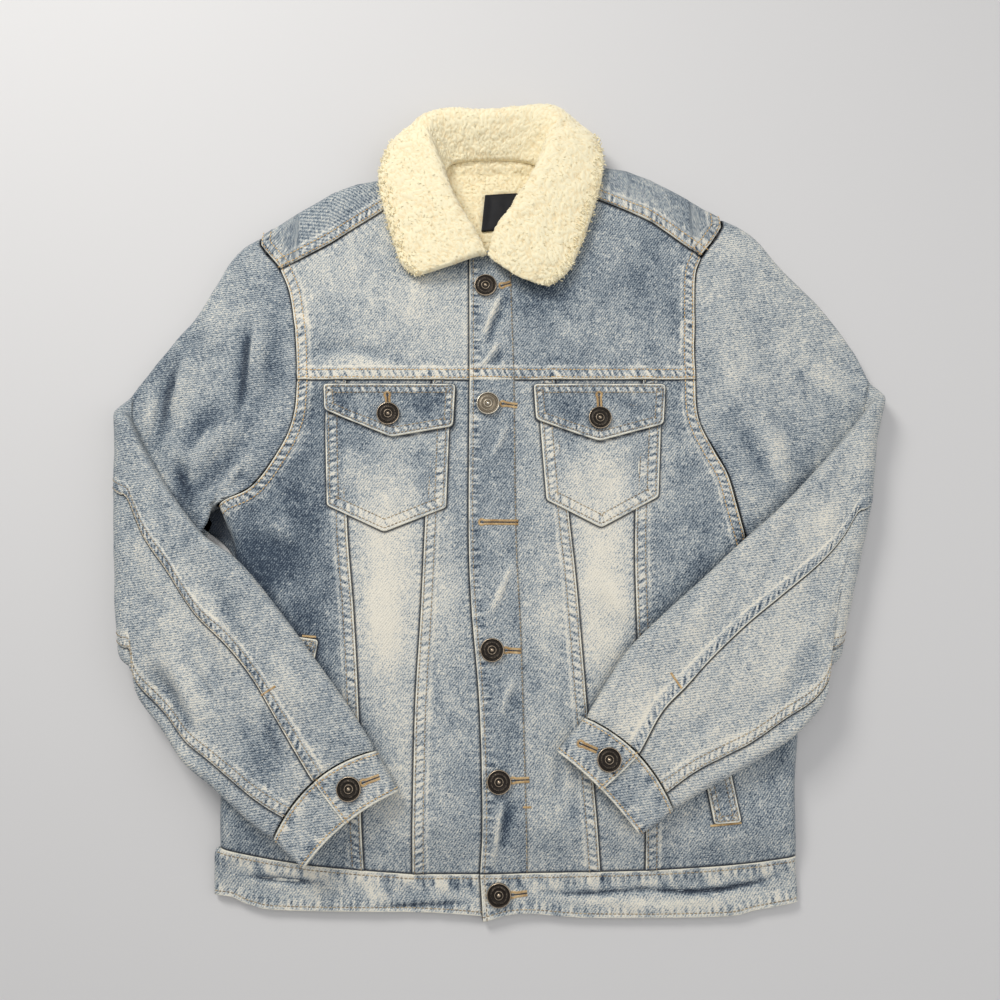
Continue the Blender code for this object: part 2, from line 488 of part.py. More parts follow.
# ---- meshes ---------------------------------------------------------------------------------------

def clear_scene():
    for thing in list(bpy.data.objects):
        bpy.data.objects.remove(thing, do_unlink=True)


def finish_material(name):
    material = bpy.data.materials.get(name)
    if material is None:
        finish = FINISHES[name]
        material = bpy.data.materials.new(name)
        material.use_nodes = True
        shader = material.node_tree.nodes["Principled BSDF"]
        shader.inputs["Base Color"].default_value = (*finish.colour, 1)
        shader.inputs["Roughness"].default_value = finish.roughness
        shader.inputs["Metallic"].default_value = finish.metallic
    return material


def add_object(name, points, faces, finish):
    """An object from points and faces, with its faces turned outwards."""
    mesh = bpy.data.meshes.new(name)
    mesh.from_pydata([tuple(map(float, p)) for p in points], [], [tuple(map(int, f)) for f in faces])
    mesh.materials.append(finish_material(finish))
    mesh.validate()
    mesh.shade_smooth()
    mesh.set_sharp_from_angle(angle=math.radians(40))
    thing = bpy.data.objects.new(name, mesh)
    bpy.context.collection.objects.link(thing)
    return thing


def volume(points, triangles):
    a, b, c = (points[triangles[:, k]] for k in range(3))
    return float((a * np.cross(b, c)).sum() / 6)


def plan_triangles(outline, extra, spacing):
    """Triangles over an outline, with points of its own spread inside it."""
    low, high = outline.min(0), outline.max(0)
    rows = []
    for k, y in enumerate(np.arange(low[1] + spacing / 2, high[1], spacing * 0.866)):
        shift = spacing / 2 * (k % 2)
        rows += [(x, y) for x in np.arange(low[0] + spacing / 4 + shift, high[0], spacing)]
    grid = np.array(rows).reshape(-1, 2)
    extra = np.array(extra).reshape(-1, 2)
    if len(extra) and len(grid):
        near = np.linalg.norm(grid[:, None] - extra[None], axis=2).min(1) < 0.4 * spacing
        grid = grid[~near]
    inner = np.vstack([grid, extra])
    inner = inner[depth_inside(inner, outline) > 0.0022]
    keep = depth_inside(inner, outline) > 0.45 * spacing
    is_extra = np.array([any(abs(p - q).max() < 1e-9 for q in extra) for p in inner], bool)
    inner = inner[keep | is_extra] if len(inner) else inner
    seeds = [tuple(p) for p in np.vstack([outline, inner])]
    found = delaunay_2d_cdt(seeds, [], [list(range(len(outline)))], 1, 1e-7)
    return np.array([tuple(v) for v in found[0]]), np.array(found[2])


def add_panel(name, outline, top, bottom, finish, extra=(), spacing=COARSE):
    """A piece seen from above: its outline, and the heights of its two faces."""
    plan, triangles = plan_triangles(outline, extra, spacing)
    a, b, c = (plan[triangles[:, k]] for k in range(3))
    turned = np.cross(b - a, c - a) < 0
    triangles[turned] = triangles[turned][:, ::-1]
    edges = np.vstack([triangles[:, [0, 1]], triangles[:, [1, 2]], triangles[:, [2, 0]]])
    seen = {tuple(e) for e in edges}
    rim = [e for e in edges if (e[1], e[0]) not in seen]
    count = len(plan)
    points = np.vstack([np.column_stack([plan, top(plan)]), np.column_stack([plan, bottom(plan)])])
    faces = [tuple(t) for t in triangles]
    faces += [tuple(t[::-1] + count) for t in triangles]
    for a, b in rim:
        faces += [(b, a, a + count), (b, a + count, b + count)]
    return add_object(name, points, faces, finish)


def add_wall(name, outer, inner, finish):
    """A wall between two grids of points, closed all round."""
    rows, columns = outer.shape[:2]
    index = np.arange(rows * columns).reshape(rows, columns)
    a, b = index[:-1, :-1].ravel(), index[1:, :-1].ravel()
    c, d = index[1:, 1:].ravel(), index[:-1, 1:].ravel()
    skin = np.vstack([np.column_stack([a, b, c]), np.column_stack([a, c, d])])
    count = rows * columns
    rim = np.concatenate([index[0, :-1], index[:-1, -1], index[-1, :0:-1], index[:0:-1, 0]])
    after = np.roll(rim, -1)
    sides = np.vstack([np.column_stack([rim, after, after + count]),
                       np.column_stack([rim, after + count, rim + count])])
    triangles = np.vstack([skin, skin[:, ::-1] + count, sides])
    points = np.vstack([outer.reshape(-1, 3), inner.reshape(-1, 3)])
    if volume(points, triangles) < 0:
        triangles = triangles[:, ::-1]
    return add_object(name, points, triangles, finish)


def near_sides(outline):
    """Points along the rounded side edges, where a panel needs more of them."""
    found = []
    for edge in SIDE_EDGES:
        tangent = np.gradient(edge, axis=0)
        normal = np.stack([-tangent[:, 1], tangent[:, 0]], 1)
        normal /= np.linalg.norm(normal, axis=1)[:, None]
        for away in (0.0025, 0.006, 0.012):
            for side in (1, -1):
                line = edge + normal * away * side
                found.append(line[depth_inside(line, outline) > 0.8 * min(away, 0.003)])
    return np.vstack(found)


def along_folds(outline):
    """Points on the crest and at the foot of each raised fold."""
    found = []
    for fold in BODY_FOLDS:
        crest = through((fold.start, fold.end), FINE)
        way = (crest[-1] - crest[0]) / np.linalg.norm(crest[-1] - crest[0])
        normal = np.array([-way[1], way[0]])
        for away in (-1.5, -0.6, 0, 0.6, 1.5):
            found.append(crest + normal * away * fold.width)
    found = np.vstack(found)
    return found[depth_inside(found, outline) > 0.004]


# ---- the pieces -----------------------------------------------------------------------------------

def make_fronts():
    for panel in FRONT_PANELS:
        outline = shrink(outline_of(panel.outline), GAP / 2)
        extra = np.vstack([near_sides(outline), along_folds(outline)])

        def top(points, lift=panel.lift):
            return front_face(points) + lift

        def bottom(points, lift=panel.lift, thickness=panel.thickness):
            return front_face(points) + lift - thickness

        add_panel(panel.name, outline, top, bottom, "denim", extra)


def make_patches():
    for patch in PATCHES:

        def bottom(points, lift=patch.lift):
            return front_face(points) + lift

        def top(points, lift=patch.lift + PATCH):
            return front_face(points) + lift

        add_panel(patch.name, straight_sides(patch.outline), top, bottom, "denim")


def make_back():
    outline = shrink(outline_of(("armhole_yoke_left", "armhole_low_left", "side_left", "hem_side_left",
                                 "hem_mid_left", "hem_centre_left", "hem_placket", "hem_centre_right",
                                 "hem_mid_right", "hem_side_right", "-side_right", "-armhole_low_right",
                                 "-armhole_yoke_right", "-back_yoke")), GAP / 2)
    add_panel("back", outline, lambda p: back_face(p, 2 * CLOTH) + CLOTH, lambda p: back_face(p, 2 * CLOTH),
              "denim", near_sides(outline), WIDE)
    band = shrink(outline_of(("band_end_left", "band_low_left", "band_low_right", "-band_end_right",
                              "-hem_side_right", "-hem_mid_right", "-hem_centre_right", "-hem_placket",
                              "-hem_centre_left", "-hem_mid_left", "-hem_side_left")), GAP / 2)
    add_panel("waistband_back", band, lambda p: back_face(p, CLOTH + BAND) + CLOTH,
              lambda p: back_face(p, CLOTH + BAND), "denim", near_sides(band), WIDE)


def make_back_yoke():
    radius = BODY_HEIGHT / 2
    grids = []
    for wall in (0.0, CLOTH):
        grid = []
        for column in YOKE_COLUMNS:
            centre = column.fold - radius
            path = [(y, wall) for y in np.linspace(column.start, centre, 4)[:-1]]
            for share in np.linspace(0, 1, 7):
                angle = math.pi * (column.turn * share - 0.5)
                y, z = math.cos(angle), math.sin(angle)
                path.append((centre + (radius - wall) * y, radius + (radius - wall) * z))
            end = column.finish if column.turn == 1 else path[-1][0] - YOKE_TAIL * z
            rise = 0 if column.turn == 1 else YOKE_TAIL * y
            last = path[-1]
            path += [(last[0] + (end - last[0]) * k, last[1] + rise * k) for k in (1 / 3, 2 / 3, 1)]
            grid.append([(column.x, y, z) for y, z in path])
        grids.append(np.array(grid))
    add_wall("back_yoke", grids[0], grids[1], "denim")


def make_linings():
    """The pile: one piece behind, which shows in the neck, and one under each front."""
    left = ("shoulder_left", "armhole_high_left", "armhole_yoke_left", "armhole_low_left", "side_left",
            "hem_side_left", "hem_mid_left", "hem_centre_left")
    right = ("hem_centre_right", "hem_mid_right", "hem_side_right", "-side_right", "-armhole_low_right",
             "-armhole_yoke_right", "-armhole_high_right", "-shoulder_right")
    neck = np.vstack([[LINES["shoulder_right"][0]], BACK_NECK])
    shapes = {
        "lining_back": np.vstack([outline_of(left + ("hem_placket",) + right), neck]),
        "lining_front_left": outline_of(left + ("-edge_low", "-edge_high", "-neck_left")),
        "lining_front_right": outline_of(("edge_high", "edge_low", "hem_placket") + right
                                         + ("-neck_right", "-neck_centre")),
    }
    centre = outline_of(("edge_high", "edge_low"))
    seam, side, hem = LINING_INSETS
    for name, edge in shapes.items():
        away = np.minimum(distance_to(edge, SIDE_EDGES[0]), distance_to(edge, SIDE_EDGES[1]))
        inset = np.where(away < 0.02, side, np.where(edge[:, 1] < HEM_FALL[0], hem, seam))
        if name != "lining_back":
            inset = np.where((distance_to(edge, centre) < GAP) & (inset == seam), GAP / 2, inset)
        outline = shrink(edge, inset[:, None])
        outline = outline[np.linalg.norm(np.roll(outline, -1, axis=0) - outline, axis=1) > 0.002]
        across = np.arange(outline[:, 0].min() + 0.02, outline[:, 0].max() - 0.02, 0.03)
        rows = [np.column_stack([across, np.full(len(across), y)])
                for y in np.linspace(HEM_FALL[0], LINING_FALL_END, 4)]
        low, high, lift = (0, LINING_SHARE, 0) if name == "lining_back" else (LINING_SHARE, 1, GAP)
        add_panel(name, outline, lambda p: lining_height(p, high), lambda p: lining_height(p, low) + lift,
                  "sherpa", np.vstack(rows), WIDE)


def make_label():
    low, high = (NECK_LINING + height for height in LABEL_HEIGHTS)
    add_panel("neck_label", straight_sides(LABEL), lambda p: np.full(len(p), high),
              lambda p: np.full(len(p), low), "label")


def make_collar():
    lines = zip(*[(row.neck, row.roll, row.side, row.edge) for row in COLLAR_ROWS])
    lines = [at_share(through(line, FINE), np.linspace(0, 1, 31)) for line in lines]
    share = np.linspace(0, 1, 11)
    half = COLLAR_HALF * np.sqrt(1 - COLLAR_THINNING * share**10)[:, None]
    outer, inner = [], []
    for neck, roll, side, edge in zip(*lines):
        path = at_share(through((neck, roll, side, edge), 0.004), share)
        tangent = np.gradient(path, axis=0)
        tangent /= np.linalg.norm(tangent, axis=1)[:, None]
        across = np.cross(edge - neck, roll - neck)
        across /= np.linalg.norm(across)
        normal = np.cross(tangent, across)
        outer.append(path + normal * half)
        inner.append(path - normal * half)
    outer, inner = np.array(outer), np.array(inner)
    for grid in (outer, inner):
        grid[..., 2] = np.maximum(grid[..., 2], 0)
    add_wall("collar", outer, inner, "sherpa")


def bowed(row, side, sweep):
    """The line from the upper to the lower edge of a row, bowed towards the elbow."""
    upper, lower = np.array(row.upper), np.array(row.lower)
    way = (lower - upper) / np.linalg.norm(lower - upper)
    back = np.array([way[1], -way[0]]) * (1 if side == "left" else -1)
    return upper + sweep[:, None] * (lower - upper) + (4 * sweep * (1 - sweep))[:, None] * back * row.bow


def sleeve_sections(side):
    """Sections of one sleeve: on the floor from the armhole, round the fold, and back on top to the cuff."""
    sweep = np.linspace(0, 1, 25)
    armhole = at_share(through(ARMHOLES[side], 0.008), sweep)
    curve = armhole - (armhole[0] + sweep[:, None] * (armhole[-1] - armhole[0]))
    low_crease, high_crease = (at_share(through(line, 0.01), sweep) for line in CREASES[side])
    sections = []
    for row in UPPER_ARMS[side]:
        upper, lower = np.array(row.upper), np.array(row.lower)
        line = upper + sweep[:, None] * (lower - upper) + row.bow * curve
        sections.append(Section("floor", 0, line, row.thickness, row.back_seam, row.under_seam))
    first = FOREARMS[side][0]
    for angle in np.radians(np.arange(0, 181, ARC)):
        line = low_crease + (high_crease - low_crease) * angle / math.pi
        sections.append(Section("fold", angle, line, FOLD_THICKNESS, first.back_seam, first.under_seam))
    for row in FOREARMS[side]:
        line = bowed(row, side, sweep)
        sections.append(Section("top", 0, line, row.thickness, row.back_seam, row.under_seam))
    return sections


def arm_outline(side, sections):
    """The upper arm and its fold, in plan."""
    lines = [section.line for section in sections if section.kind == "floor"]
    fold = at_share(through(CREASES[side][0], 0.01), np.linspace(0, 1, 13)) + (outward(side) * FOLD_REACH, 0)
    upper, lower = [line[0] for line in lines], [line[-1] for line in lines]
    outline = np.vstack([upper, fold, lower[::-1], lines[0][::-1]])
    return outline if side == "left" else outline[::-1]


def outward(side):
    return -1 if side == "left" else 1


def ring_places(width, half, seams):
    """Points round a section, each a place along its width and an angle round its edge, for the two
    pieces of the sleeve. The angle is 90 degrees on the upper face and -90 on the lower one."""
    first = min(max(seams[0], (half + EDGE_ROOM) / width), 0.9)
    second = min(seams[1], 1 - (half + EDGE_ROOM) / width)
    up, down = math.pi / 2, -math.pi / 2
    arc = np.radians(np.arange(90, -91, -ARC))
    top = [(s, up, "face") for s in np.linspace(first * width, half, 4)[:-1]]
    top += [(half, angle, "upper") for angle in arc]
    top += [(s, down, "face") for s in np.linspace(half, width - half, 9)[1:-1]]
    top += [(width - half, angle, "lower") for angle in arc[::-1]]
    top.append((second * width, up, "face"))
    top[0] = (top[0][0] - GAP / 2, up, "face")
    top[-1] = (top[-1][0] + GAP / 2, up, "face")
    under = [(s, up, "face") for s in np.linspace(first * width + GAP / 2, second * width - GAP / 2, 6)]
    return {"top_sleeve": top, "under_sleeve": under}


def section_points(section, ring, radius, half, side, arm):
    """One ring of a sleeve's outer or inner face, in space."""
    width = length_of(section.line)
    places = np.array([place for place, _, _ in ring])
    angles = np.array([angle for _, angle, _ in ring])
    edge = np.array([{"upper": -1, "face": 0, "lower": 1}[where] for _, _, where in ring])
    places = places + edge * radius * np.cos(angles)
    plan = at_share(section.line, places / width)
    height = radius * np.sin(angles)
    if section.kind == "fold":
        reach = FOLD_RADIUS + height
        plan[:, 0] += outward(side) * reach * math.sin(section.angle)
        return np.column_stack([plan, FOLD_HEIGHT - reach * math.cos(section.angle)])
    creased = (radius == half) * fold_height(plan, SLEEVE_FOLDS)
    if section.kind == "floor":
        return np.column_stack([plan, half - height + creased * (height < 0)])
    return np.column_stack([plan, half + height + creased * (height > 0) + support(plan, arm)])


def make_sleeve(side):
    sections = sleeve_sections(side)
    arm = arm_outline(side, sections)
    walls = {"top_sleeve": ([], []), "under_sleeve": ([], [])}
    for section in sections:
        half = section.thickness / 2
        rings = ring_places(length_of(section.line), half, (section.back_seam, section.under_seam))
        for name, ring in rings.items():
            for grid, radius in zip(walls[name], (half, half - SLEEVE_WALL)):
                grid.append(section_points(section, ring, radius, half, side, arm))
    for name, (outer, inner) in walls.items():
        add_wall(f"{name}_{side}", np.array(outer), np.array(inner), "denim")
    return arm


def make_cuff(side, arm):
    """A band wound round the wrist, its buttonhole end over its button end."""
    outer, inner = [], []
    for row in CUFFS[side]:
        line = bowed(row, side, np.linspace(0, 1, 13))
        width = length_of(line)
        high = row.thickness / 2
        low = high - (CUFF_WALL + CUFF_GAP) / 2
        middle = width / 2
        for grid, wall in ((outer, 0.0), (inner, CUFF_WALL)):
            path = [(s, 2 * low - wall) for s in np.linspace(middle - CUFF_LAP, width - low, 5)[:-1]]
            for angle in np.radians(np.arange(90, -91, -30)):
                across, up = (low - wall) * math.cos(angle), (low - wall) * math.sin(angle)
                path.append((width - low + across, low + up))
            path += [(s, wall) for s in np.linspace(width - low, high, 5)[1:-1]]
            for angle in np.radians(np.arange(-90, 91, 30)):
                across, up = (high - wall) * math.cos(angle), (high - wall) * math.sin(angle)
                path.append((high - across, high + up))
            path += [(s, 2 * high - wall) for s in np.linspace(high, middle, 4)[1:]]
            path = np.array(path)
            plan = at_share(line, path[:, 0] / width)
            grid.append(np.column_stack([plan, path[:, 1] + support(plan, arm)]))
    add_wall(f"cuff_{side}", np.array(outer), np.array(inner), "denim")
    return float(outer[1][-1][2])


def button_mesh():
    """A turned button, from the middle of its underside out and up to the middle of its face."""
    turns = np.linspace(0, 2 * math.pi, BUTTON_SIDES, endpoint=False)
    points = [(0, 0, 0)]
    for radius, height in BUTTON_PROFILE:
        points += [(radius * math.cos(turn), radius * math.sin(turn), height) for turn in turns]
    points.append((0, 0, BUTTON_PROFILE[-1][1]))
    faces = []
    for k in range(BUTTON_SIDES):
        after = (k + 1) % BUTTON_SIDES
        faces.append((0, 1 + after, 1 + k))
        for level in range(len(BUTTON_PROFILE) - 1):
            low = 1 + level * BUTTON_SIDES
            high = low + BUTTON_SIDES
            faces.append((low + k, low + after, high + after, high + k))
        faces.append((len(points) - 1, high + k, high + after))
    return points, faces


def make_buttons(cuff_tops):
    points, faces = button_mesh()
    lifts = {"placket": PLACKET_LIFT, "waistband": BAND_LIFT + BAND_SLOPE, "flap": FLAP_LIFT + PATCH}
    for number, button in enumerate(BUTTONS, 1):
        if button.carrier in lifts:
            height = float(front_face(np.array([[button.x, button.y]]))[0]) + lifts[button.carrier]
        else:
            height = cuff_tops[button.carrier]
        thing = add_object(f"button_{number}", points, faces, "bronze")
        thing.location = (button.x, button.y, height + SEAT)


SIDE_EDGES = [np.vstack([through(LINES["side_left"], FINE), through(LINES["band_end_left"], FINE)[1:]]),
              np.vstack([through(LINES["side_right"], FINE), through(LINES["band_end_right"], FINE)[1:]])]
BACK_NECK = through(((0.0425, 0.3060), (0.0330, 0.3190), (-0.0080, 0.3230), (-0.0450, 0.3190),
                     (-0.0545, 0.3060)), FINE)
BODY_OUTLINE = outline_of(("shoulder_left", "armhole_high_left", "armhole_yoke_left", "armhole_low_left",
                           "side_left", "band_end_left", "band_low_left", "band_low_right", "-band_end_right",
                           "-side_right", "-armhole_low_right", "-armhole_yoke_right", "-armhole_high_right",
                           "-shoulder_right"))
BODY_OUTLINE = np.vstack([BODY_OUTLINE, [LINES["shoulder_right"][0]], BACK_NECK])


def main():
    clear_scene()
    make_fronts()
    make_patches()
    make_back()
    make_back_yoke()
    make_linings()
    make_label()
    make_collar()
    cuff_tops = {}
    for side in ("left", "right"):
        arm = make_sleeve(side)
        cuff_tops[f"cuff_{side}"] = make_cuff(side, arm)
    make_buttons(cuff_tops)
    print("made", len(bpy.data.objects), "pieces")


main()
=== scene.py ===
# A light-wash denim jacket with a sherpa collar and lining, laid flat on its back with its sleeves folded in.
import math
from collections import namedtuple

import bpy
import numpy as np
from mathutils.geometry import delaunay_2d_cdt
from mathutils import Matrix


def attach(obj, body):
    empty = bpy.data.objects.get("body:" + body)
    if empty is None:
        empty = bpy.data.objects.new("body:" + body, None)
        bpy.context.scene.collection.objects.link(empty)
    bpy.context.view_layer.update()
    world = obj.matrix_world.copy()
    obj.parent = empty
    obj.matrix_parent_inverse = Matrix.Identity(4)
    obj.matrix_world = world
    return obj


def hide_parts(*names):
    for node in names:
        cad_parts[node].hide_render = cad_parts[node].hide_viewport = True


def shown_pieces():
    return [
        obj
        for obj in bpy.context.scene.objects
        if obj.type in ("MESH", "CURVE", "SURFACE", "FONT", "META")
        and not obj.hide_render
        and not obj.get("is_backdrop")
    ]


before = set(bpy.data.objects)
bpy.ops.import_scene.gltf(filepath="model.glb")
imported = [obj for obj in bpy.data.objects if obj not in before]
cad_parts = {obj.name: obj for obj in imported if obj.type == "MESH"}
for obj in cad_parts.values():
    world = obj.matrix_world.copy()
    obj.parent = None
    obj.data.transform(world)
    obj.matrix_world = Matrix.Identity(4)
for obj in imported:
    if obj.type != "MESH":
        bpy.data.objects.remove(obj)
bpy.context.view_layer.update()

# ---- the view, the light and the floor

view = {
    "distance": 0.925,  # from the middle of the floor to the lens
    "lean": 10,  # degrees from straight down
    "centre": -0.008,  # where the camera looks, along the body
    "lens": 36,
    "sensor": 36,
}

room = {"sky": (0.85, 0.86, 0.89, 1), "skyStrength": 0.46, "floorReach": 4.0,
        "floorColour": (0.62, 0.61, 0.60, 1), "floorRoughness": 0.8}
lights = {
    # place, size, watts and colour
    "window": ((-0.75, 1.05, 1.25), 0.6, 18.5, (1.0, 0.99, 0.97)),
    "fill": ((1.3, -0.2, 1.3), 1.6, 6.5, (0.97, 0.98, 1.0)),
    "top": ((0.0, 0.0, 2.0), 1.4, 7.5, (1.0, 1.0, 1.0)),
}


def placed(name, data):
    # a new object in the scene
    thing = bpy.data.objects.new(name, data)
    bpy.context.scene.collection.objects.link(thing)
    return thing


def makeStudio():
    scene = bpy.context.scene
    scene.view_settings.view_transform = "Standard"
    lens = bpy.data.cameras.new("camera")
    lens.lens = view["lens"]
    lens.sensor_width = view["sensor"]
    lens.clip_start = 0.01
    camera = placed("camera", lens)
    lean = math.radians(view["lean"])
    camera.location = (0, view["centre"] - view["distance"] * math.sin(lean),
                       view["distance"] * math.cos(lean))
    camera.rotation_euler = (lean, 0, 0)
    scene.camera = camera
    for name, (place, size, watts, colour) in lights.items():
        lamp = bpy.data.lights.new(name, "AREA")
        lamp.size, lamp.energy, lamp.color = size, watts, colour
        thing = placed(name, lamp)
        thing.location = place
        aim = -np.array(place)
        thing.rotation_euler = (math.atan2(math.hypot(aim[0], aim[1]), -aim[2]), 0,
                                math.atan2(aim[1], aim[0]) - math.pi / 2)
    scene.world = bpy.data.worlds.new("studio")
    scene.world.use_nodes = True
    sky = scene.world.node_tree.nodes["Background"].inputs
    sky["Color"].default_value, sky["Strength"].default_value = room["sky"], room["skyStrength"]
    side = room["floorReach"]
    mesh = bpy.data.meshes.new("floor")
    corners = [(-side, -side, 0), (side, -side, 0), (side, side, 0), (-side, side, 0)]
    mesh.from_pydata(corners, [], [(0, 1, 2, 3)])
    paint = bpy.data.materials.new("floor")
    paint.use_nodes = True
    shader = paint.node_tree.nodes["Principled BSDF"].inputs
    shader["Base Color"].default_value = room["floorColour"]
    shader["Roughness"].default_value = room["floorRoughness"]
    mesh.materials.append(paint)
    placed("floor", mesh)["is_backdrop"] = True


makeStudio()
print("stage: studio, camera and floor")

# ---- curves, distances and uneven waves


def bent(a, b, c, d, t):
    # a place on the smooth curve from b to c, with a before it and d after it
    return 0.5 * (2 * b + (c - a) * t + (2 * a - 5 * b + 4 * c - d) * t**2 + (3 * b - a - 3 * c + d) * t**3)


def through(points, step):
    # points about a step apart on a smooth curve through the given ones
    points = np.array(points, float)
    if len(points) == 2:
        count = max(1, round(float(np.linalg.norm(points[1] - points[0])) / step))
        return points[0] + np.linspace(0, 1, count + 1)[:, None] * (points[1] - points[0])
    padded = np.vstack([2 * points[0] - points[1], points, 2 * points[-1] - points[-2]])
    out = []
    for a, b, c, d in zip(padded, padded[1:], padded[2:], padded[3:]):
        count = max(1, round(float(np.linalg.norm(c - b)) / step))
        out += [bent(a, b, c, d, t) for t in np.arange(count) / count]
    return np.array(out + [points[-1]])


def atShare(line, shares):
    # the points at shares of a line's length
    steps = np.linalg.norm(np.diff(line, axis=0), axis=1)
    along = np.concatenate([[0], np.cumsum(steps)])
    wanted = np.asarray(shares) * along[-1]
    return np.stack([np.interp(wanted, along, line[:, k]) for k in range(line.shape[1])], axis=-1)


def lengthOf(line):
    return float(np.linalg.norm(np.diff(line, axis=0), axis=1).sum())


def pathLengths(grid, axis):
    # how far along its row or column each point of a grid lies
    steps = np.diff(grid, axis=axis, prepend=grid.take([0], axis))
    return np.cumsum(np.linalg.norm(steps, axis=2), axis=axis)


def fromBorder(down, right):
    # how far the points of a grid lie from its nearest side
    return np.minimum(np.minimum(down, down[-1:] - down), np.minimum(right, right[:, -1:] - right))


def closed(outline):
    return np.vstack([outline, outline[:1]])


def nearest(points, line):
    # how far each point is from a line, and how far along the line it is
    a, span = line[:-1], np.diff(line, axis=0)
    lengths = np.linalg.norm(span, axis=1)
    start = np.concatenate([[0], np.cumsum(lengths)[:-1]])
    away, along = [], []
    for group in np.array_split(points, max(1, len(points) // 3000)):
        rel = group[:, None] - a[None]
        t = np.clip((rel * span).sum(2) / np.maximum(lengths**2, 1e-14), 0, 1)
        gap = np.linalg.norm(rel - t[..., None] * span, axis=2)
        best = gap.argmin(1)
        rows = np.arange(len(group))
        away.append(gap[rows, best])
        along.append(start[best] + t[rows, best] * lengths[best])
    return np.concatenate(away), np.concatenate(along)


def inside(points, outline):
    x, y = points[:, 0][:, None], points[:, 1][:, None]
    a, b = outline, np.roll(outline, -1, axis=0)
    crosses = (a[:, 1] > y) != (b[:, 1] > y)
    rise = np.where(np.abs(b[:, 1] - a[:, 1]) < 1e-12, 1e-12, b[:, 1] - a[:, 1])
    at = a[:, 0] + (y - a[:, 1]) / rise * (b[:, 0] - a[:, 0])
    return (crosses & (x < at)).sum(1) % 2 == 1


def depthInside(points, outline):
    # how deep each point lies inside an outline, and below zero outside it
    away = nearest(points, closed(outline))[0]
    return np.where(inside(points, outline), away, -away)


def ease(t):
    t = np.clip(t, 0, 1)
    return t * t * (3 - 2 * t)


def hump(away, width):
    return np.exp(-(away / width) ** 2)


def rounded(away, radius=0.0009):
    # a rounded edge: 0 on it, 1 from its radius on
    t = np.clip(away / radius, 0, 1)
    return np.sqrt(t * (2 - t))


def shrink(outline, by):
    before, after = outline - np.roll(outline, 1, axis=0), np.roll(outline, -1, axis=0) - outline
    turn = [np.stack([-v[:, 1], v[:, 0]], 1) / np.linalg.norm(v, axis=1)[:, None] for v in (before, after)]
    normal = turn[0] + turn[1]
    length = np.maximum((normal**2).sum(1) / 2, 0.35)
    return outline + by * normal / length[:, None]


def alongside(line, away):
    # a line moved sideways, to the left of its way for a positive distance
    tangent = np.gradient(line, axis=0)
    normal = np.stack([-tangent[:, 1], tangent[:, 0]], 1) / np.linalg.norm(tangent, axis=1)[:, None]
    return line + normal * away


def areaOf(outline):
    x, y = outline.T
    return abs(float((x * np.roll(y, -1) - y * np.roll(x, -1)).sum() / 2))


def noise(points, size, seed):
    # smooth uneven waves between about -1 and 1, a size apart
    turn = np.random.default_rng(seed).uniform(0, 2 * math.pi, (97, 89))
    place = points[:, :2] / size + (40.3, 50.7)
    cell = np.floor(place).astype(int)
    part = place - cell
    weight = part**3 * (part * (part * 6 - 15) + 10)
    total = np.zeros(len(points))
    for a in (0, 1):
        for b in (0, 1):
            angle = turn[(cell[:, 0] + a) % 97, (cell[:, 1] + b) % 89]
            pull = np.cos(angle) * (part[:, 0] - a) + np.sin(angle) * (part[:, 1] - b)
            across = weight[:, 0] if a else 1 - weight[:, 0]
            up = weight[:, 1] if b else 1 - weight[:, 1]
            total += across * up * pull
    return 1.5 * total


def rope(along, seed=0.0):
    # the uneven pull of a felled seam, between -1 and 1
    slow = np.sin(2 * math.pi * along / 0.043 + seed)
    return (0.62 * np.sin(2 * math.pi * along / 0.0066 + 1.6 * slow + seed)
            + 0.38 * np.sin(2 * math.pi * along / 0.0041 + 2.3 * slow + 1.7 * seed))


# ---- meshes


def markPoints(mesh, name, values):
    mesh.attributes.new(name, "FLOAT", "POINT").data.foreach_set("value", np.asarray(values, float))


def addObject(name, points, faces, material, uv=None, marks=None):
    # a piece from points and faces, with its grain in metres and its marks of wash, wear and painted light
    # and shade
    mesh = bpy.data.meshes.new(name)
    mesh.from_pydata(np.asarray(points, float).tolist(), [], [tuple(int(k) for k in f) for f in faces])
    mesh.materials.append(material)
    mesh.shade_smooth()
    if uv is not None:
        layer = mesh.uv_layers.new(name="grain")
        index = np.empty(len(mesh.loops), int)
        mesh.loops.foreach_get("vertex_index", index)
        layer.data.foreach_set("uv", np.asarray(uv, float)[index].ravel())
    for label, values in (marks or {}).items():
        markPoints(mesh, label, values)
    return placed(name, mesh)


def finished(piece, slot, *nodes):
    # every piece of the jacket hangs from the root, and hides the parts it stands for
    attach(piece, "root")
    if nodes:
        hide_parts(*nodes)
    return piece


def layFlat(piece, outline):
    # the area of a flat piece's outline, which is not used
    areaOf(outline)


def planMesh(outline, seeds):
    # triangles over an outline, through the seeds that lie inside it
    low = outline.min(0)
    seeds = seeds[depthInside(seeds, outline) > 0.00025]
    points = np.vstack([outline, seeds])
    found = delaunay_2d_cdt([tuple(p - low) for p in points], [], [list(range(len(outline)))], 1, 1e-7)
    plan = np.array([tuple(v) for v in found[0]]) + low
    triangles = np.array(found[2])
    a, b, c = (plan[triangles[:, k]] for k in range(3))
    turned = np.cross(b - a, c - a) < 0
    triangles[turned] = triangles[turned][:, ::-1]
    return plan, triangles


def hexGrid(outline, spacing):
    low, high = outline.min(0), outline.max(0)
    rows = []
    for k, y in enumerate(np.arange(low[1] + spacing / 2, high[1], spacing * 0.866)):
        x = np.arange(low[0] + spacing / 4 + spacing / 2 * (k % 2), high[0], spacing)
        rows.append(np.column_stack([x, np.full(len(x), y)]))
    return np.vstack(rows)


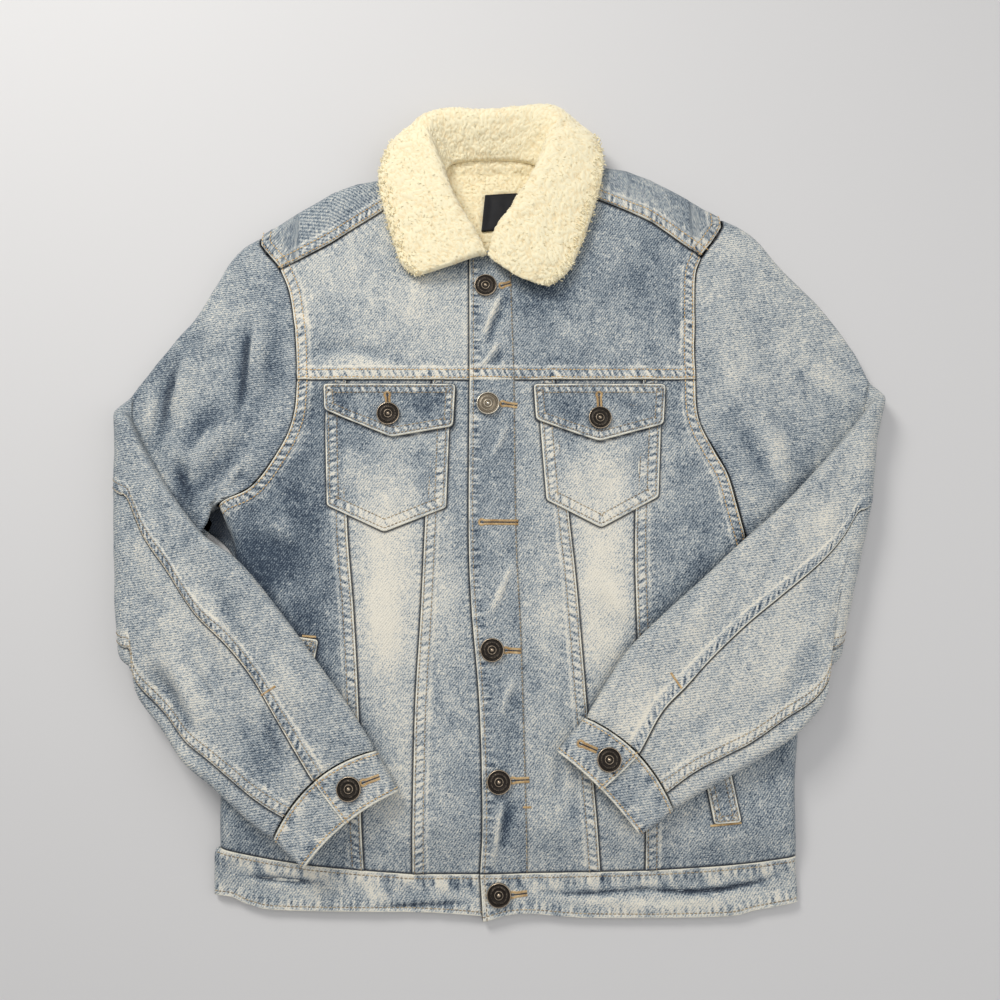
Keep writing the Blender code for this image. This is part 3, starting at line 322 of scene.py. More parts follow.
def rimOf(triangles):
    edges = np.vstack([triangles[:, [0, 1]], triangles[:, [1, 2]], triangles[:, [2, 0]]])
    seen = {tuple(e) for e in edges}
    return [tuple(e) for e in edges if (e[1], e[0]) not in seen]


def plate(name, outline, seeds, top, bottom, material, marks=None, coarse=0.02, grain=None):
    # a closed piece of cloth seen from above: fine on its face, coarse underneath
    plan, triangles = planMesh(outline, seeds)
    grid = hexGrid(outline, coarse)
    below, under = planMesh(outline, grid[depthInside(grid, outline) > 0.4 * coarse])
    count = len(plan)
    rim = rimOf(triangles)
    rimBelow = sorted({k for e in rimOf(under) for k in e})
    match = {k: count + rimBelow[int(np.linalg.norm(below[rimBelow] - plan[k], axis=1).argmin())]
             for k in {k for e in rim for k in e}}
    faces = [tuple(t) for t in triangles] + [tuple(t[::-1] + count) for t in under]
    faces += [(b, a, match[a], match[b]) for a, b in rim]
    points = np.vstack([np.column_stack([plan, top(plan)]), np.column_stack([below, bottom(below)])])
    both = np.vstack([plan, below])
    values = marks(both) if marks else None
    return addObject(name, points, faces, material, both if grain is None else grain(both), values)


def surfaceNormals(grid):
    across = np.cross(np.gradient(grid, axis=0), np.gradient(grid, axis=1))
    return across / np.maximum(np.linalg.norm(across, axis=2, keepdims=True), 1e-12)


def facing(normals, sample, way):
    # normals on the side of a grid that looks a way at a sample point
    return -normals if np.dot(normals[sample], way) < 0 else normals


def borderRounding(grid, radius):
    # 0 on the border of a grid of points, 1 from the radius inwards
    least = np.minimum(1.0, fromBorder(pathLengths(grid, 0), pathLengths(grid, 1)))
    return np.sqrt(np.maximum(1 - (1 - np.clip(least / radius, 0, 1)) ** 2, 0))


def gridFaces(rows, columns):
    index = np.arange(rows * columns).reshape(rows, columns)
    return np.stack([index[:-1, :-1], index[1:, :-1], index[1:, 1:], index[:-1, 1:]], -1).reshape(-1, 4)


def closedWall(name, outer, inner, material, uv=None, marks=None):
    # a closed piece from two grids of points, which are joined along their border
    rows, columns = outer.shape[:2]
    index = np.arange(rows * columns).reshape(rows, columns)
    under = index + rows * columns
    under[[0, -1]] = index[[0, -1]]
    under[:, [0, -1]] = index[:, [0, -1]]
    quads = gridFaces(rows, columns)
    faces = np.vstack([quads, under.ravel()[quads][:, ::-1]])
    points = np.vstack([outer.reshape(-1, 3), inner.reshape(-1, 3)])
    a, b, c, d = (points[faces[:, k]] for k in range(4))
    if (a * (np.cross(b, c) + np.cross(c, d))).sum() < 0:
        faces = faces[:, ::-1]
    used = np.unique(faces)
    renumber = np.zeros(len(points), int)
    renumber[used] = np.arange(len(used))
    both = {mark: np.concatenate([v.ravel(), v.ravel()])[used] for mark, v in (marks or {}).items()}
    grain = None if uv is None else np.vstack([uv.reshape(-1, 2)] * 2)[used]
    return addObject(name, points[used], renumber[faces], material, grain, both)


def shell(name, face, thickness, material, outward, uv=None, marks=None, relief=None, radius=0.0009):
    # a closed piece of cloth from a grid of points on its face, with rounded edges and a relief on its face
    rows, columns = face.shape[:2]
    middle = (rows // 2, columns // 2)
    normal = facing(surfaceNormals(face), middle, outward(face[middle]))
    proud = borderRounding(face, radius)[..., None]
    raised = 0 if relief is None else (relief * np.minimum(1, 4 * proud[..., 0]))[..., None]
    outer = face + normal * (raised - thickness / 2 * (1 - proud))
    inner = face - normal * thickness / 2 * (1 + proud)
    return closedWall(name, outer, inner, material, uv, marks)


# ---- materials


def newMaterial(name):
    material = bpy.data.materials.new(name)
    material.use_nodes = True
    tree = material.node_tree
    return material, tree, tree.nodes["Principled BSDF"]


def newGroup(name, inputs, outputs):
    group = bpy.data.node_groups.new(name, "ShaderNodeTree")
    for label, kind, value in inputs:
        socket = group.interface.new_socket(label, in_out="INPUT", socket_type="NodeSocket" + kind)
        if value is not None:
            socket.default_value = value
    for label, kind in outputs:
        group.interface.new_socket(label, in_out="OUTPUT", socket_type="NodeSocket" + kind)
    return group, group.nodes.new("NodeGroupInput"), group.nodes.new("NodeGroupOutput")


def put(tree, kind, **settings):
    node = tree.nodes.new("ShaderNode" + kind)
    for key, value in settings.items():
        setattr(node, key, value)
    return node


def feed(tree, socket, value):
    # a link where the value is a socket, else the socket's own value
    if isinstance(value, bpy.types.NodeSocket):
        tree.links.new(value, socket)
    else:
        socket.default_value = value


def sums(tree, operation, *values):
    node = put(tree, "Math", operation=operation)
    for socket, value in zip(node.inputs, values):
        feed(tree, socket, value)
    return node.outputs[0]


def plus(tree, base, value, share=1.0, centre=0.0):
    # base + share * (value - centre)
    if centre:
        value = sums(tree, "SUBTRACT", value, centre)
    if share != 1.0:
        value = sums(tree, "MULTIPLY", value, share)
    return sums(tree, "ADD", base, value)


def mixed(tree, share, first, second):
    node = put(tree, "Mix", data_type="RGBA")
    feed(tree, node.inputs["Factor"], share)
    for socket, value in ((node.inputs[6], first), (node.inputs[7], second)):
        feed(tree, socket, value if isinstance(value, bpy.types.NodeSocket) else (*value, 1))
    return node.outputs[2]


def grainNoise(tree, vector, size, detail=2.0, rough=0.5, scale=(1, 1, 1)):
    # noise on a vector stretched by a scale of its own
    stretch = put(tree, "Mapping")
    node = put(tree, "TexNoise")
    for socket, value in ((stretch.inputs["Vector"], vector), (stretch.inputs["Scale"], scale),
                          (node.inputs["Vector"], stretch.outputs[0]), (node.inputs["Scale"], size),
                          (node.inputs["Detail"], detail), (node.inputs["Roughness"], rough)):
        feed(tree, socket, value)
    return node.outputs["Fac"]


def threadNoise(tree, vector, across, along, *more):
    # noise in streaks of a width and a length
    return grainNoise(tree, vector, 1.0, 2.0, *more, scale=(1 / across, 1 / along, 1 / across))


def ranged(tree, value, low, high, first=0.0, last=1.0):
    node = put(tree, "MapRange")
    feed(tree, node.inputs[0], value)
    for k, number in enumerate((low, high, first, last), 1):
        node.inputs[k].default_value = number
    return node.outputs[0]


def toned(tree, value, *tones):
    # a colour that runs through tones, each with its place
    ramp = put(tree, "ValToRGB")
    stops = ramp.color_ramp.elements
    stops[0].position, stops[-1].position = tones[0][0], tones[-1][0]
    for place, tone in tones[1:-1]:
        stops.new(place)
    for stop, (place, tone) in zip(stops, tones):
        stop.color = (*tone, 1)
    feed(tree, ramp.inputs[0], value)
    return ramp.outputs[0]


def mark(tree, name):
    node = put(tree, "Attribute", attribute_type="GEOMETRY", attribute_name=name)
    return node.outputs["Fac"]


def surfaced(tree, shader, height, strength, distance, **looks):
    # a finish's fine bump, and its settings
    bump = put(tree, "Bump")
    for socket, value in ((bump.inputs["Height"], height), (bump.inputs["Strength"], strength),
                          (bump.inputs["Distance"], distance), (shader.inputs["Normal"], bump.outputs[0])):
        feed(tree, socket, value)
    names = {"rough": "Roughness", "sheen": "Sheen Weight", "sheenRough": "Sheen Roughness",
             "specular": "Specular IOR Level", "colour": "Base Color", "metal": "Metallic"}
    for key, value in looks.items():
        feed(tree, shader.inputs[names[key]], value)


denim = {
    "twillPitch": 0.0021,  # between the diagonal lines, in metres
    "speckleSize": 980,  # specks a metre
    "contrast": 1.3,  # of the specks
    "slubLength": 0.016,
    "slubWidth": 0.0011,
    "threads": (0.0009, 0.0032),  # thickness of a thread and length of its floats
    # each tone with its place between the fresh dye and the palest wash
    "tones": ((0.0, (0.032, 0.047, 0.072)), (0.20, (0.096, 0.128, 0.164)), (0.44, (0.250, 0.288, 0.316)),
              (0.66, (0.462, 0.490, 0.488)), (0.94, (0.765, 0.720, 0.610))),
    # the cream of worn edges, which also gives the painted highlights on the highest crests
    "worn": (0.84, 0.80, 0.67),
    # near black: painted shade in seams, creases and gaps, and painted shadow beside what lies on the cloth
    "ditch": (0.022, 0.028, 0.042),
}


def weaveGroup():
    # twill lines, slubs and speckle of denim, from a grain in metres
    group, start, end = newGroup("denimWeave", [("Grain", "Vector", None)],
                                 [("Height", "Float"), ("Speckle", "Float"), ("Slub", "Float")])
    grain = start.outputs["Grain"]
    split = put(group, "SeparateXYZ")
    feed(group, split.inputs[0], grain)
    turn = 2 * math.pi / denim["twillPitch"]
    across = sums(group, "MULTIPLY", split.outputs[0], turn * 0.80)
    phase = plus(group, across, split.outputs[1], -turn * 0.60)
    wobble = grainNoise(group, grain, 260, 1.0)
    twill = sums(group, "SINE", plus(group, phase, wobble, 4.5))
    fine = grainNoise(group, grain, denim["speckleSize"], 2.5, 0.65)
    thick, long = denim["threads"]
    warp = threadNoise(group, grain, thick, long, 0.6)
    weft = grainNoise(group, grain, 1.0, 2.0, 0.6, (1 / long, 1 / thick, 1 / thick))
    slub = threadNoise(group, grain, denim["slubWidth"], denim["slubLength"], 0.6)
    crossed = plus(group, sums(group, "SUBTRACT", warp, 0.5), weft, 1.0, 0.5)
    speckle = plus(group, 0.0, fine, 0.75, 0.5)
    for value, share in ((crossed, 0.80), (twill, 0.11)):
        speckle = plus(group, speckle, value, share)
    height = plus(group, sums(group, "MULTIPLY", twill, 0.4), fine)
    feed(group, end.inputs["Height"], plus(group, height, crossed))
    feed(group, end.inputs["Speckle"], speckle)
    feed(group, end.inputs["Slub"], sums(group, "SUBTRACT", slub, 0.5))
    return group


def washGroup():
    # the colour of washed denim from how far it has faded and its painted light, with worn edges, painted
    # highlights on crests, painted shade in seams and creases, and mottled seams
    group, start, end = newGroup(
        "denimWash",
        [("Grain", "Vector", None), ("Fade", "Float", 0.4), ("Edge", "Float", 0.0), ("Rope", "Float", 0.0),
         ("Speckle", "Float", 0.0), ("Slub", "Float", 0.0), ("Mottle", "Float", 1.0)],
        [("Color", "Color"), ("Roughness", "Float")])
    socket = start.outputs
    cloudy = grainNoise(group, socket["Grain"], 30, 2.5, 0.58, (1, 0.6, 1))
    patchy = grainNoise(group, socket["Grain"], 110, 1.2, 0.5, (1, 0.8, 1))
    blotch = plus(group, 0.55, patchy, 1.6, 0.35)
    ropes = sums(group, "MULTIPLY", socket["Rope"], sums(group, "MULTIPLY", blotch, socket["Mottle"]))
    level = socket["Fade"]
    for value, share, centre in ((cloudy, 0.48, 0.5), (patchy, 0.28, 0.5),
                                 (socket["Speckle"], denim["contrast"], 0), (socket["Slub"], 0.22, 0),
                                 (ropes, 0.62, 0)):
        level = plus(group, level, value, share, centre)
    colour = toned(group, level, *denim["tones"])
    # cream where the edge mark is above zero: worn edges, and painted highlights on crests
    chafed = plus(group, 1.0, patchy, 2.8, 0.5)
    worn = ranged(group, sums(group, "MULTIPLY", socket["Edge"], chafed), 0.18, 0.72)
    colour = mixed(group, worn, colour, denim["worn"])
    # near black where the edge mark is below zero: painted shade
    ditch = ranged(group, sums(group, "MULTIPLY", socket["Edge"], -1.0), 0.1, 0.9, 0.0, 0.85)
    feed(group, end.inputs["Color"], mixed(group, ditch, colour, denim["ditch"]))
    feed(group, end.inputs["Roughness"], ranged(group, level, 0.0, 1.0, 0.84, 0.93))
    return group


def deepGrain(tree):
    # the grain of the flat cloth with its height, so that folds and edges keep the weave's size
    flat, place, grain = put(tree, "SeparateXYZ"), put(tree, "SeparateXYZ"), put(tree, "CombineXYZ")
    feed(tree, flat.inputs[0], put(tree, "UVMap", uv_map="grain").outputs[0])
    feed(tree, place.inputs[0], put(tree, "TexCoord").outputs["Object"])
    for socket, value in zip(grain.inputs, (flat.outputs[0], flat.outputs[1], place.outputs[2])):
        feed(tree, socket, value)
    return grain.outputs[0]


def denimMaterial(name, weave, wash, mottle=1.0):
    material, tree, shader = newMaterial(name)
    woven, washed = put(tree, "Group", node_tree=weave), put(tree, "Group", node_tree=wash)
    grain = deepGrain(tree)
    feed(tree, woven.inputs["Grain"], grain)
    for label, value in (("Grain", grain), ("Fade", mark(tree, "fade")), ("Edge", mark(tree, "edge")),
                         ("Rope", mark(tree, "rope")), ("Speckle", woven.outputs["Speckle"]),
                         ("Slub", woven.outputs["Slub"]), ("Mottle", mottle)):
        feed(tree, washed.inputs[label], value)
    surfaced(tree, shader, woven.outputs["Height"], 0.55, 0.0006, colour=washed.outputs["Color"],
             rough=washed.outputs["Roughness"], sheen=0.05, sheenRough=0.5, specular=0.15)
    return material


sherpa = {
    # each tone with its place between the crevices, darkened there as painted shade, and the tips
    "tones": ((0.0, (0.74, 0.58, 0.34)), (0.34, (0.84, 0.71, 0.45)), (0.75, (0.89, 0.80, 0.55))),
    "curls": 420,  # the sizes of its unevenness, in waves a metre
    "clouds": 45,
}


def sherpaMaterial(name, paintedShade=0.0):
    # curly pile: warm and dark in its crevices as painted shade, pale at its tips; painted shade makes a copy
    # darker all over
    material, tree, shader = newMaterial(name)
    place = put(tree, "TexCoord").outputs["Object"]
    curls = grainNoise(tree, place, sherpa["curls"], 3.0, 0.6)
    level = plus(tree, mark(tree, "tip"), curls, 0.45, 0.5)
    level = plus(tree, level, grainNoise(tree, place, sherpa["clouds"]), 0.3, 0.5)
    colour = toned(tree, sums(tree, "SUBTRACT", level, paintedShade), *sherpa["tones"])
    surfaced(tree, shader, curls, 0.6, 0.0004, colour=colour, rough=0.95, sheen=0.35, sheenRough=0.6,
             specular=0.1)
    return material


def threadMaterial(name, dark, pale):
    material, tree, shader = newMaterial(name)
    place = put(tree, "TexCoord").outputs["Object"]
    worn = grainNoise(tree, place, 90, 3.0, 0.7)
    ply = grainNoise(tree, place, 2600, 1.0)
    level = plus(tree, ranged(tree, worn, 0.35, 0.65), ply, 0.3)
    colour = mixed(tree, sums(tree, "SUBTRACT", level, 0.15), dark, pale)
    surfaced(tree, shader, ply, 0.5, 0.0002, colour=colour, rough=ranged(tree, ply, 0.0, 1.0, 0.5, 0.75),
             sheen=0.2)
    return material


def bronzeMaterial(name, dark, bright):
    # cast metal with a dark patina that has rubbed off its rims
    material, tree, shader = newMaterial(name)
    pits = grainNoise(tree, put(tree, "TexCoord").outputs["Object"], 900, 3.0, 0.7)
    rubbed = ranged(tree, plus(tree, mark(tree, "rub"), pits, 0.7, 0.5), 0.3, 0.85)
    surfaced(tree, shader, pits, 0.35, 0.0003, colour=mixed(tree, rubbed, dark, bright),
             metal=ranged(tree, rubbed, 0.0, 1.0, 0.75, 1.0),
             rough=ranged(tree, plus(tree, pits, rubbed), 0.4, 1.5, 0.55, 0.26))
    return material


def satinMaterial(name, dark, pale):
    # the woven label: satin with a fine rib
    material, tree, shader = newMaterial(name)
    grain = put(tree, "UVMap", uv_map="grain").outputs[0]
    rib = grainNoise(tree, grain, 1.0, scale=(1 / 0.006, 1 / 0.0005, 1))
    surfaced(tree, shader, rib, 0.4, 0.0002, colour=mixed(tree, rib, dark, pale),
             rough=ranged(tree, rib, 0.3, 0.7, 0.42, 0.62), sheen=0.03, specular=0.2)
    return material


weave, wash = weaveGroup(), washGroup()
cloth = denimMaterial("denim", weave, wash)
sleeveCloth = denimMaterial("denimSleeve", weave, wash, 1.25)
fleece = sherpaMaterial("sherpa")
# the pile inside the jacket: the same pile, darker and warmer as painted shade
shadedInnerFleece = sherpaMaterial("sherpaInside", 0.10)
tanThread = threadMaterial("tanThread", (0.15, 0.10, 0.055), (0.55, 0.44, 0.28))
goldThread = threadMaterial("goldThread", (0.48, 0.28, 0.09), (0.82, 0.58, 0.27))
bronze = bronzeMaterial("bronze", (0.022, 0.017, 0.013), (0.46, 0.37, 0.27))
wornBronze = bronzeMaterial("wornBronze", (0.17, 0.14, 0.10), (0.78, 0.70, 0.56))
satin = satinMaterial("labelSatin", (0.004, 0.004, 0.005), (0.014, 0.014, 0.017))
# near black along each buttonhole's cut, as painted shade in the slit
slitPaintedShade = threadMaterial("slitShade", (0.012, 0.014, 0.020), (0.04, 0.045, 0.06))
print("stage: finishes")

# ---- the cutting lines and the form of the laid jacket


def grouped(row, size=2):
    # points in metres from a row of coordinates in millimetres
    metres = iter([round(value / 1000, 6) for value in row])
    return tuple(zip(*[metres] * size))


# x and y of each point, in millimetres
lines = {name: grouped(row) for name, row in {
    "shoulderLeft": (-62.5, 302, -112, 267, -138, 250, -161, 234.5, -206.5, 208.5),
    "shoulderRight": (49, 301, 93, 279, 121, 267, 145, 255, 189.5, 220.5),
    "neckLeft": (-62.5, 302, -57, 279, -44, 254, -29, 236),
    "neckCentre": (-29, 236, -20, 229.5, -11, 227, -1, 230, 9.5, 237),
    "neckRight": (9.5, 237, 26, 253, 40, 275, 49, 301),
    "armholeHighLeft": (-206.5, 208.5, -197, 185, -190.5, 150),
    "armholeYokeLeft": (-190.5, 150, -189, 132, -187, 101),
    "armholeLowLeft": (-187, 101, -188, 73, -193, 52, -202, 33, -215, 12, -228, -2, -245, -10, -256, -16),
    "armholeHighRight": (189.5, 220.5, 183, 200, 181, 150),
    "armholeYokeRight": (181, 150, 180, 132, 180, 101),
    "armholeLowRight": (180, 101, 180, 75, 184, 56, 195, 33, 206, 12, 213, -15, 221, -50),
    "sideLeft": (-256, -16, -248, -34, -240, -58, -238, -120, -240, -200, -242, -266, -241, -314),
    "sideRight": (221, -50, 238, -80, 252, -120, 260, -180, 261, -215, 256, -262, 255, -321),
    "outerLeft": (-142, 101, -138, -26, -130, -110, -123, -200, -117, -333),
    "innerLeft": (-62, 101, -67, -26, -70, -110, -74, -200, -75, -336),
    "edgeHigh": (-29, 236, -28, 101),
    "edgeLow": (-28, 101, -28, -42, -25, -111, -19, -177, -16, -235, -15, -295, -17, -336),
    "stitchHigh": (9.5, 237, 13.5, 101),
    "stitchLow": (13.5, 101, 15, -42, 19, -133, 22, -242, 24, -335),
    "innerRight": (50, 101, 62, -26, 68, -88, 76, -200, 86, -334),
    "outerRight": (132, 101, 122, -26, 121, -111, 124, -200, 125, -333),
    "yokeSideLeft": (-187, 101, -142, 101),
    "yokeMidLeft": (-142, 101, -62, 101),
    "yokeCentreLeft": (-62, 101, -28, 101),
    "yokePlacket": (-28, 101, 13.5, 101),
    "yokeCentreRight": (13.5, 101, 50, 101),
    "yokeMidRight": (50, 101, 132, 101),
    "yokeSideRight": (132, 101, 180, 101),
    "hemSideLeft": (-241, -314, -204, -322, -160, -329, -117, -333),
    "hemMidLeft": (-117, -333, -75, -336),
    "hemCentreLeft": (-75, -336, -17, -336),
    "hemPlacket": (-17, -336, 24, -335),
    "hemCentreRight": (24, -335, 86, -334),
    "hemMidRight": (86, -334, 125, -333),
    "hemSideRight": (125, -333, 160, -331, 211, -327, 255, -321),
    "bandEndLeft": (-241, -314, -246, -318, -245.5, -353),
    "bandEndRight": (255, -321, 255.5, -359),
    "bandEdge": (-17, -336, -14.5, -375),
    "bandLowLeft": (-245.5, -353, -230, -355, -212, -362, -182, -366, -68, -367.5, -14.5, -370.5),
    "bandLowRight": (-14.5, -375, 17, -368.5, 79, -372, 187, -371, 218, -366, 255.5, -359),
    "backYoke": (-190.5, 150, 181, 150),
}.items()}
seamStep = 0.0018
seamLine = {name: through(points, seamStep) for name, points in lines.items()}

body = {
    "height": 0.022, "hemHeight": 0.0085, "hemFall": (-0.285, -0.352),
    "sideRound": 0.011, "seamShare": 0.51, "seamLeast": 0.0056,
    "cloth": 0.002, "band": 0.003, "seat": 0.0005, "patch": 0.0017,
    "placketLift": 0.0018, "bandLift": 0.0012,
    "ditch": 0.0009,  # how deep the cloth turns down at a seam
    "felled": 0.0011,  # how far a felled seam stands up
    "felledWidth": 0.0112,
    "rows": (0.0019, 0.0092),  # its two rows of stitches, from its edge
    "freeRow": 0.0036,  # the one row along a free edge
    "billow": 0.0011,  # the soft unevenness of the padded fronts
    "mesh": 0.0046,
}
sideEdges = [np.vstack([seamLine["side" + side], seamLine["bandEnd" + side][1:]])
             for side in ("Left", "Right")]
leftSide = ("shoulderLeft", "armholeHighLeft", "armholeYokeLeft", "armholeLowLeft", "sideLeft")
rightSide = ("-sideRight", "-armholeLowRight", "-armholeYokeRight", "-armholeHighRight", "-shoulderRight")
hemSeams = ("hemSideLeft", "hemMidLeft", "hemCentreLeft", "hemPlacket", "hemCentreRight", "hemMidRight",
            "hemSideRight")
hemEdges = ("bandEndLeft", "bandLowLeft", "bandLowRight", "-bandEndRight")


def outlineOf(names):
    runs = []
    for name in names:
        run = seamLine[name.lstrip("-")]
        runs.append((run[::-1] if name.startswith("-") else run)[:-1])
    return np.vstack(runs)


def bodyHeight(y):
    start, end = body["hemFall"]
    return body["height"] + (body["hemHeight"] - body["height"]) * ease((y - start) / (end - start))


def sideHeight(height):
    return np.maximum(body["seamShare"] * height, body["seamLeast"])


def fromSides(points):
    return np.minimum(*(nearest(points, edge)[0] for edge in sideEdges))


def sideRounding(points):
    return np.sqrt(1 - (1 - np.clip(fromSides(points) / body["sideRound"], 0, 1)) ** 2)


def beside(points, line, reach):
    # which points lie in the box round a line
    return ((points > line.min(0) - reach) & (points < line.max(0) + reach)).all(1)


# soft creases: the line of each crest or trough, how wide it is and how high, below zero for a trough
Crease = namedtuple("Crease", "line width height")


def creasesOf(*rows):
    # each row: width, height and the points of the line, in millimetres
    return tuple(Crease(grouped(row[2:]), *grouped(row[:2])[0]) for row in rows)


bodyCreases = creasesOf(
    (6, 1.6, -172, 117, -128, 116.5, -85, 108),
    (5.5, -3, -180, 126, -150, 132, -120, 127, -85, 118),
    (6, -1.6, -166, 94, -171, 75, -179, 56),
    (6, 1.2, -176, 92, -182, 74, -186, 60),
    (9, 2.2, -219, -28, -200, -34, -178, -50),
    (8, -1.6, -224, -45, -203, -52, -186, -66),
    (8, 1.8, -203, -80, -192, -105, -179, -132),
    (8, -1.4, -214, -95, -204, -120, -196, -150),
    (7, 1.8, 95, -85, 105, -103, 113, -122),
    (7, -1.4, 86, -98, 96, -116, 101, -138),
    (5, 1.8, 40.5, -232, 43.5, -248, 41.5, -268),
    (5, 1.6, 56.5, -243, 58.5, -258, 57.5, -278),
    (5, -1.4, 49, -236, 50.5, -255, 49.5, -275),
    (2.2, 3.6, 2, 186, -6, 166, -12.5, 150, -15, 139),
    (3.6, -3.2, 6.5, 182, -1, 163, -7.5, 147, -9.5, 133),
    (2.2, 3.4, -2, 138, -6, 128, -14, 117, -22.5, 111),
    (3.5, -2.4, 4, 132, -1, 122, -8, 114),
    (2.8, 1.4, 7, 123, 3.5, 117, 0, 108),
    (2.8, 1.3, 15, 118, 17.5, 112, 21, 106),
    (4, -1.2, -20, 176, -19, 160, -20.5, 146),
    (2.6, 3.8, 3, -272, -1, -290, -4, -312, -7.5, -332),
    (4.2, -3.2, 9.5, -272, 5.5, -292, 2.5, -315),
    (3, 3, 12, -66, 6, -80, -1, -98, -11, -118),
    (3.2, 2.8, 13, -168, 6, -185, 0, -205),
    (3.4, 2.2, 7, 60, -1, 40, -10, 22),
    (13, 1.4, -48, 222, -74, 190, -92, 160),
    (15, -1.3, -105, 236, -128, 205, -146, 178),
    (14, 1.2, 60, 228, 78, 196, 88, 168),
    (16, -1.2, 120, 230, 128, 196, 142, 160),
    (10, 1, 30, 150, 60, 142, 100, 148),
    (12, 1.4, -115, -60, -108, -120, -104, -170),
    (10, -1.1, -88, -70, -84, -130, -88, -200),
    (10, 1, 85, -40, 90, -70, 92, -100),
    (9, 1.1, -48, -70, -44, -120, -48, -175),
    (9, 1.3, -58, -210, -50, -250, -54, -300),
    (10, 1.1, 40, -60, 44, -110, 40, -160),
    (12, 1.3, 200, -200, 196, -235, 204, -270),
    (11, -1.3, 232, -190, 236, -230, 230, -280),
    (9, 1.2, 150, -300, 185, -306, 235, -300),
    (9, 1.2, -200, -292, -165, -300, -128, -298),
    (12, 1.4, 205, -30, 199, -60, 192, -85),
)


def creased(points, creases):
    raised = np.zeros(len(points))
    for crease in creases:
        line = through(crease.line, 0.004)
        near = beside(points, line, 3 * crease.width)
        if not near.any():
            continue
        away, along = nearest(points[near], line)
        taper = np.sin(math.pi * np.clip(along / lengthOf(line), 0, 1)) ** 0.7
        raised[near] += crease.height * taper * hump(away, crease.width)
    return raised


def frontFace(points):
    # the outside of the fronts, with their creases
    height = bodyHeight(points[:, 1])
    edge = sideHeight(height)
    round_ = sideRounding(points)
    soft = body["billow"] * (0.7 * noise(points, 0.062, 3) + 0.3 * noise(points, 0.024, 4))
    return edge + (height - edge) * round_ + round_ * (soft + creased(points, bodyCreases))


# washed and faded areas, and areas of painted shade: centre, half width and half length, and how much paler
# the cloth is there
Patch = namedtuple("Patch", "x y across along amount")


def patchesOf(*rows):
    # the first four in millimetres
    return tuple(Patch(*grouped(row[:4], 4)[0], row[4]) for row in rows)


fadesAndPaintedShade = patchesOf(
    (-100, -105, 30, 95, 0.50), (-108, -40, 30, 30, 0.16), (-95, -270, 26, 50, 0.10), (92, -90, 27, 85, 0.42),
    (100, -215, 20, 70, 0.10), (-105, 12, 36, 40, 0.16), (93, 5, 40, 42, 0.24), (-98, 72, 45, 14, 0.02),
    # the darker patch of the left side panel by the arm is partly wash and partly painted shade
    (-45, -130, 16, 120, 0.08), (45, -120, 18, 130, 0.06), (-200, -70, 45, 100, -0.24),
    (-170, 20, 22, 60, -0.06), (205, -60, 35, 70, -0.10), (200, -270, 45, 60, -0.04),
    (-110, 205, 60, 45, 0.07), (-60, 150, 30, 35, 0.06), (85, 200, 60, 50, -0.03), (120, 140, 50, 30, 0.03),
    (-5, 165, 14, 50, 0.14), (0, 30, 16, 50, -0.04), (-180, -240, 40, 50, -0.02),
    # the two darker patches below the collar's wings are painted shadow
    (-58, 220, 34, 20, -0.30), (45, 190, 32, 20, -0.22),
)


def patchLevel(points, patches):
    level = np.zeros(len(points))
    for patch in patches:
        away = ((points[:, 0] - patch.x) / patch.across) ** 2 + ((points[:, 1] - patch.y) / patch.along) ** 2
        level += patch.amount * np.exp(-away)
    return level


def washAndPaintedShade(points, base):
    return base + patchLevel(points, fadesAndPaintedShade) + 0.05 * noise(points, 0.045, 8) + 0.04 * noise(points, 0.017, 9)


# how a piece meets each seam: a felled edge stands up on it, a tucked one goes down under its neighbour,
# a free one is turned and stitched once, and a flush one is the same cloth


def felledRise(away, along, seed):
    # the height of a felled seam, and its mottling
    width, rise = body["felledWidth"], body["felled"]
    down = 1 - ease((away - width + 0.0015) / 0.0042)
    between = ease((away - body["rows"][0]) / 0.0016) * ease((body["rows"][1] - away) / 0.0016)
    pull = rope(along + 0.45 * away, seed)
    sunk = sum(hump(away - row, 0.0007) for row in body["rows"])
    outside = hump(away - width - 0.0035, 0.0032)
    height = rise * (rounded(away) * down - 0.22 * sunk * down) + 0.00042 * pull * between
    height += 0.00030 * pull * hump(away - width - 0.003, 0.006)
    mottle = pull * (between + 0.35 * outside) + 0.55 * hump(away - width - 0.0012, 0.0012) + 0.25 * between
    edge = hump(away - 0.0004, 0.0007)
    return height, mottle, edge


def tuckedFall(away, along, seed):
    pull = rope(along, seed)
    height = -body["ditch"] * hump(away, 0.0014) + 0.00035 * pull * hump(away - 0.004, 0.006)
    # the dark line along a tucked seam is painted shade
    return height, 0.3 * pull * hump(away - 0.003, 0.004), -1.6 * hump(away, 0.0016)


def freeEdge(away, along, seed):
    pull = rope(along, seed)
    height = 0.0009 * (rounded(away) - 1) - 0.00028 * hump(away - body["freeRow"], 0.0009)
    height += 0.00030 * pull * hump(away - 0.004, 0.004)
    mottle = 0.7 * pull * hump(away - 0.006, 0.004) + 0.2 * hump(away - 0.002, 0.002)
    return height, mottle, 0.85 * hump(away, 0.0010)


edgeKinds = {"felled": felledRise, "tucked": tuckedFall, "free": freeEdge}


def seamForm(points, edges):
    # the height, mottling, and wear and painted shade that the seams round a piece give it
    total = np.zeros((3, len(points)))
    for number, (name, kind) in enumerate(edges.items()):
        if kind == "flush":
            continue
        line = seamLine[name]
        near = beside(points, line, 0.02)
        if near.any():
            away, along = nearest(points[near], line)
            total[:, near] += np.array(edgeKinds[kind](away, along, 1.3 * len(name) + 0.7 * number))
    total[2] = np.clip(total[2], -1.2, 1.2)
    return total


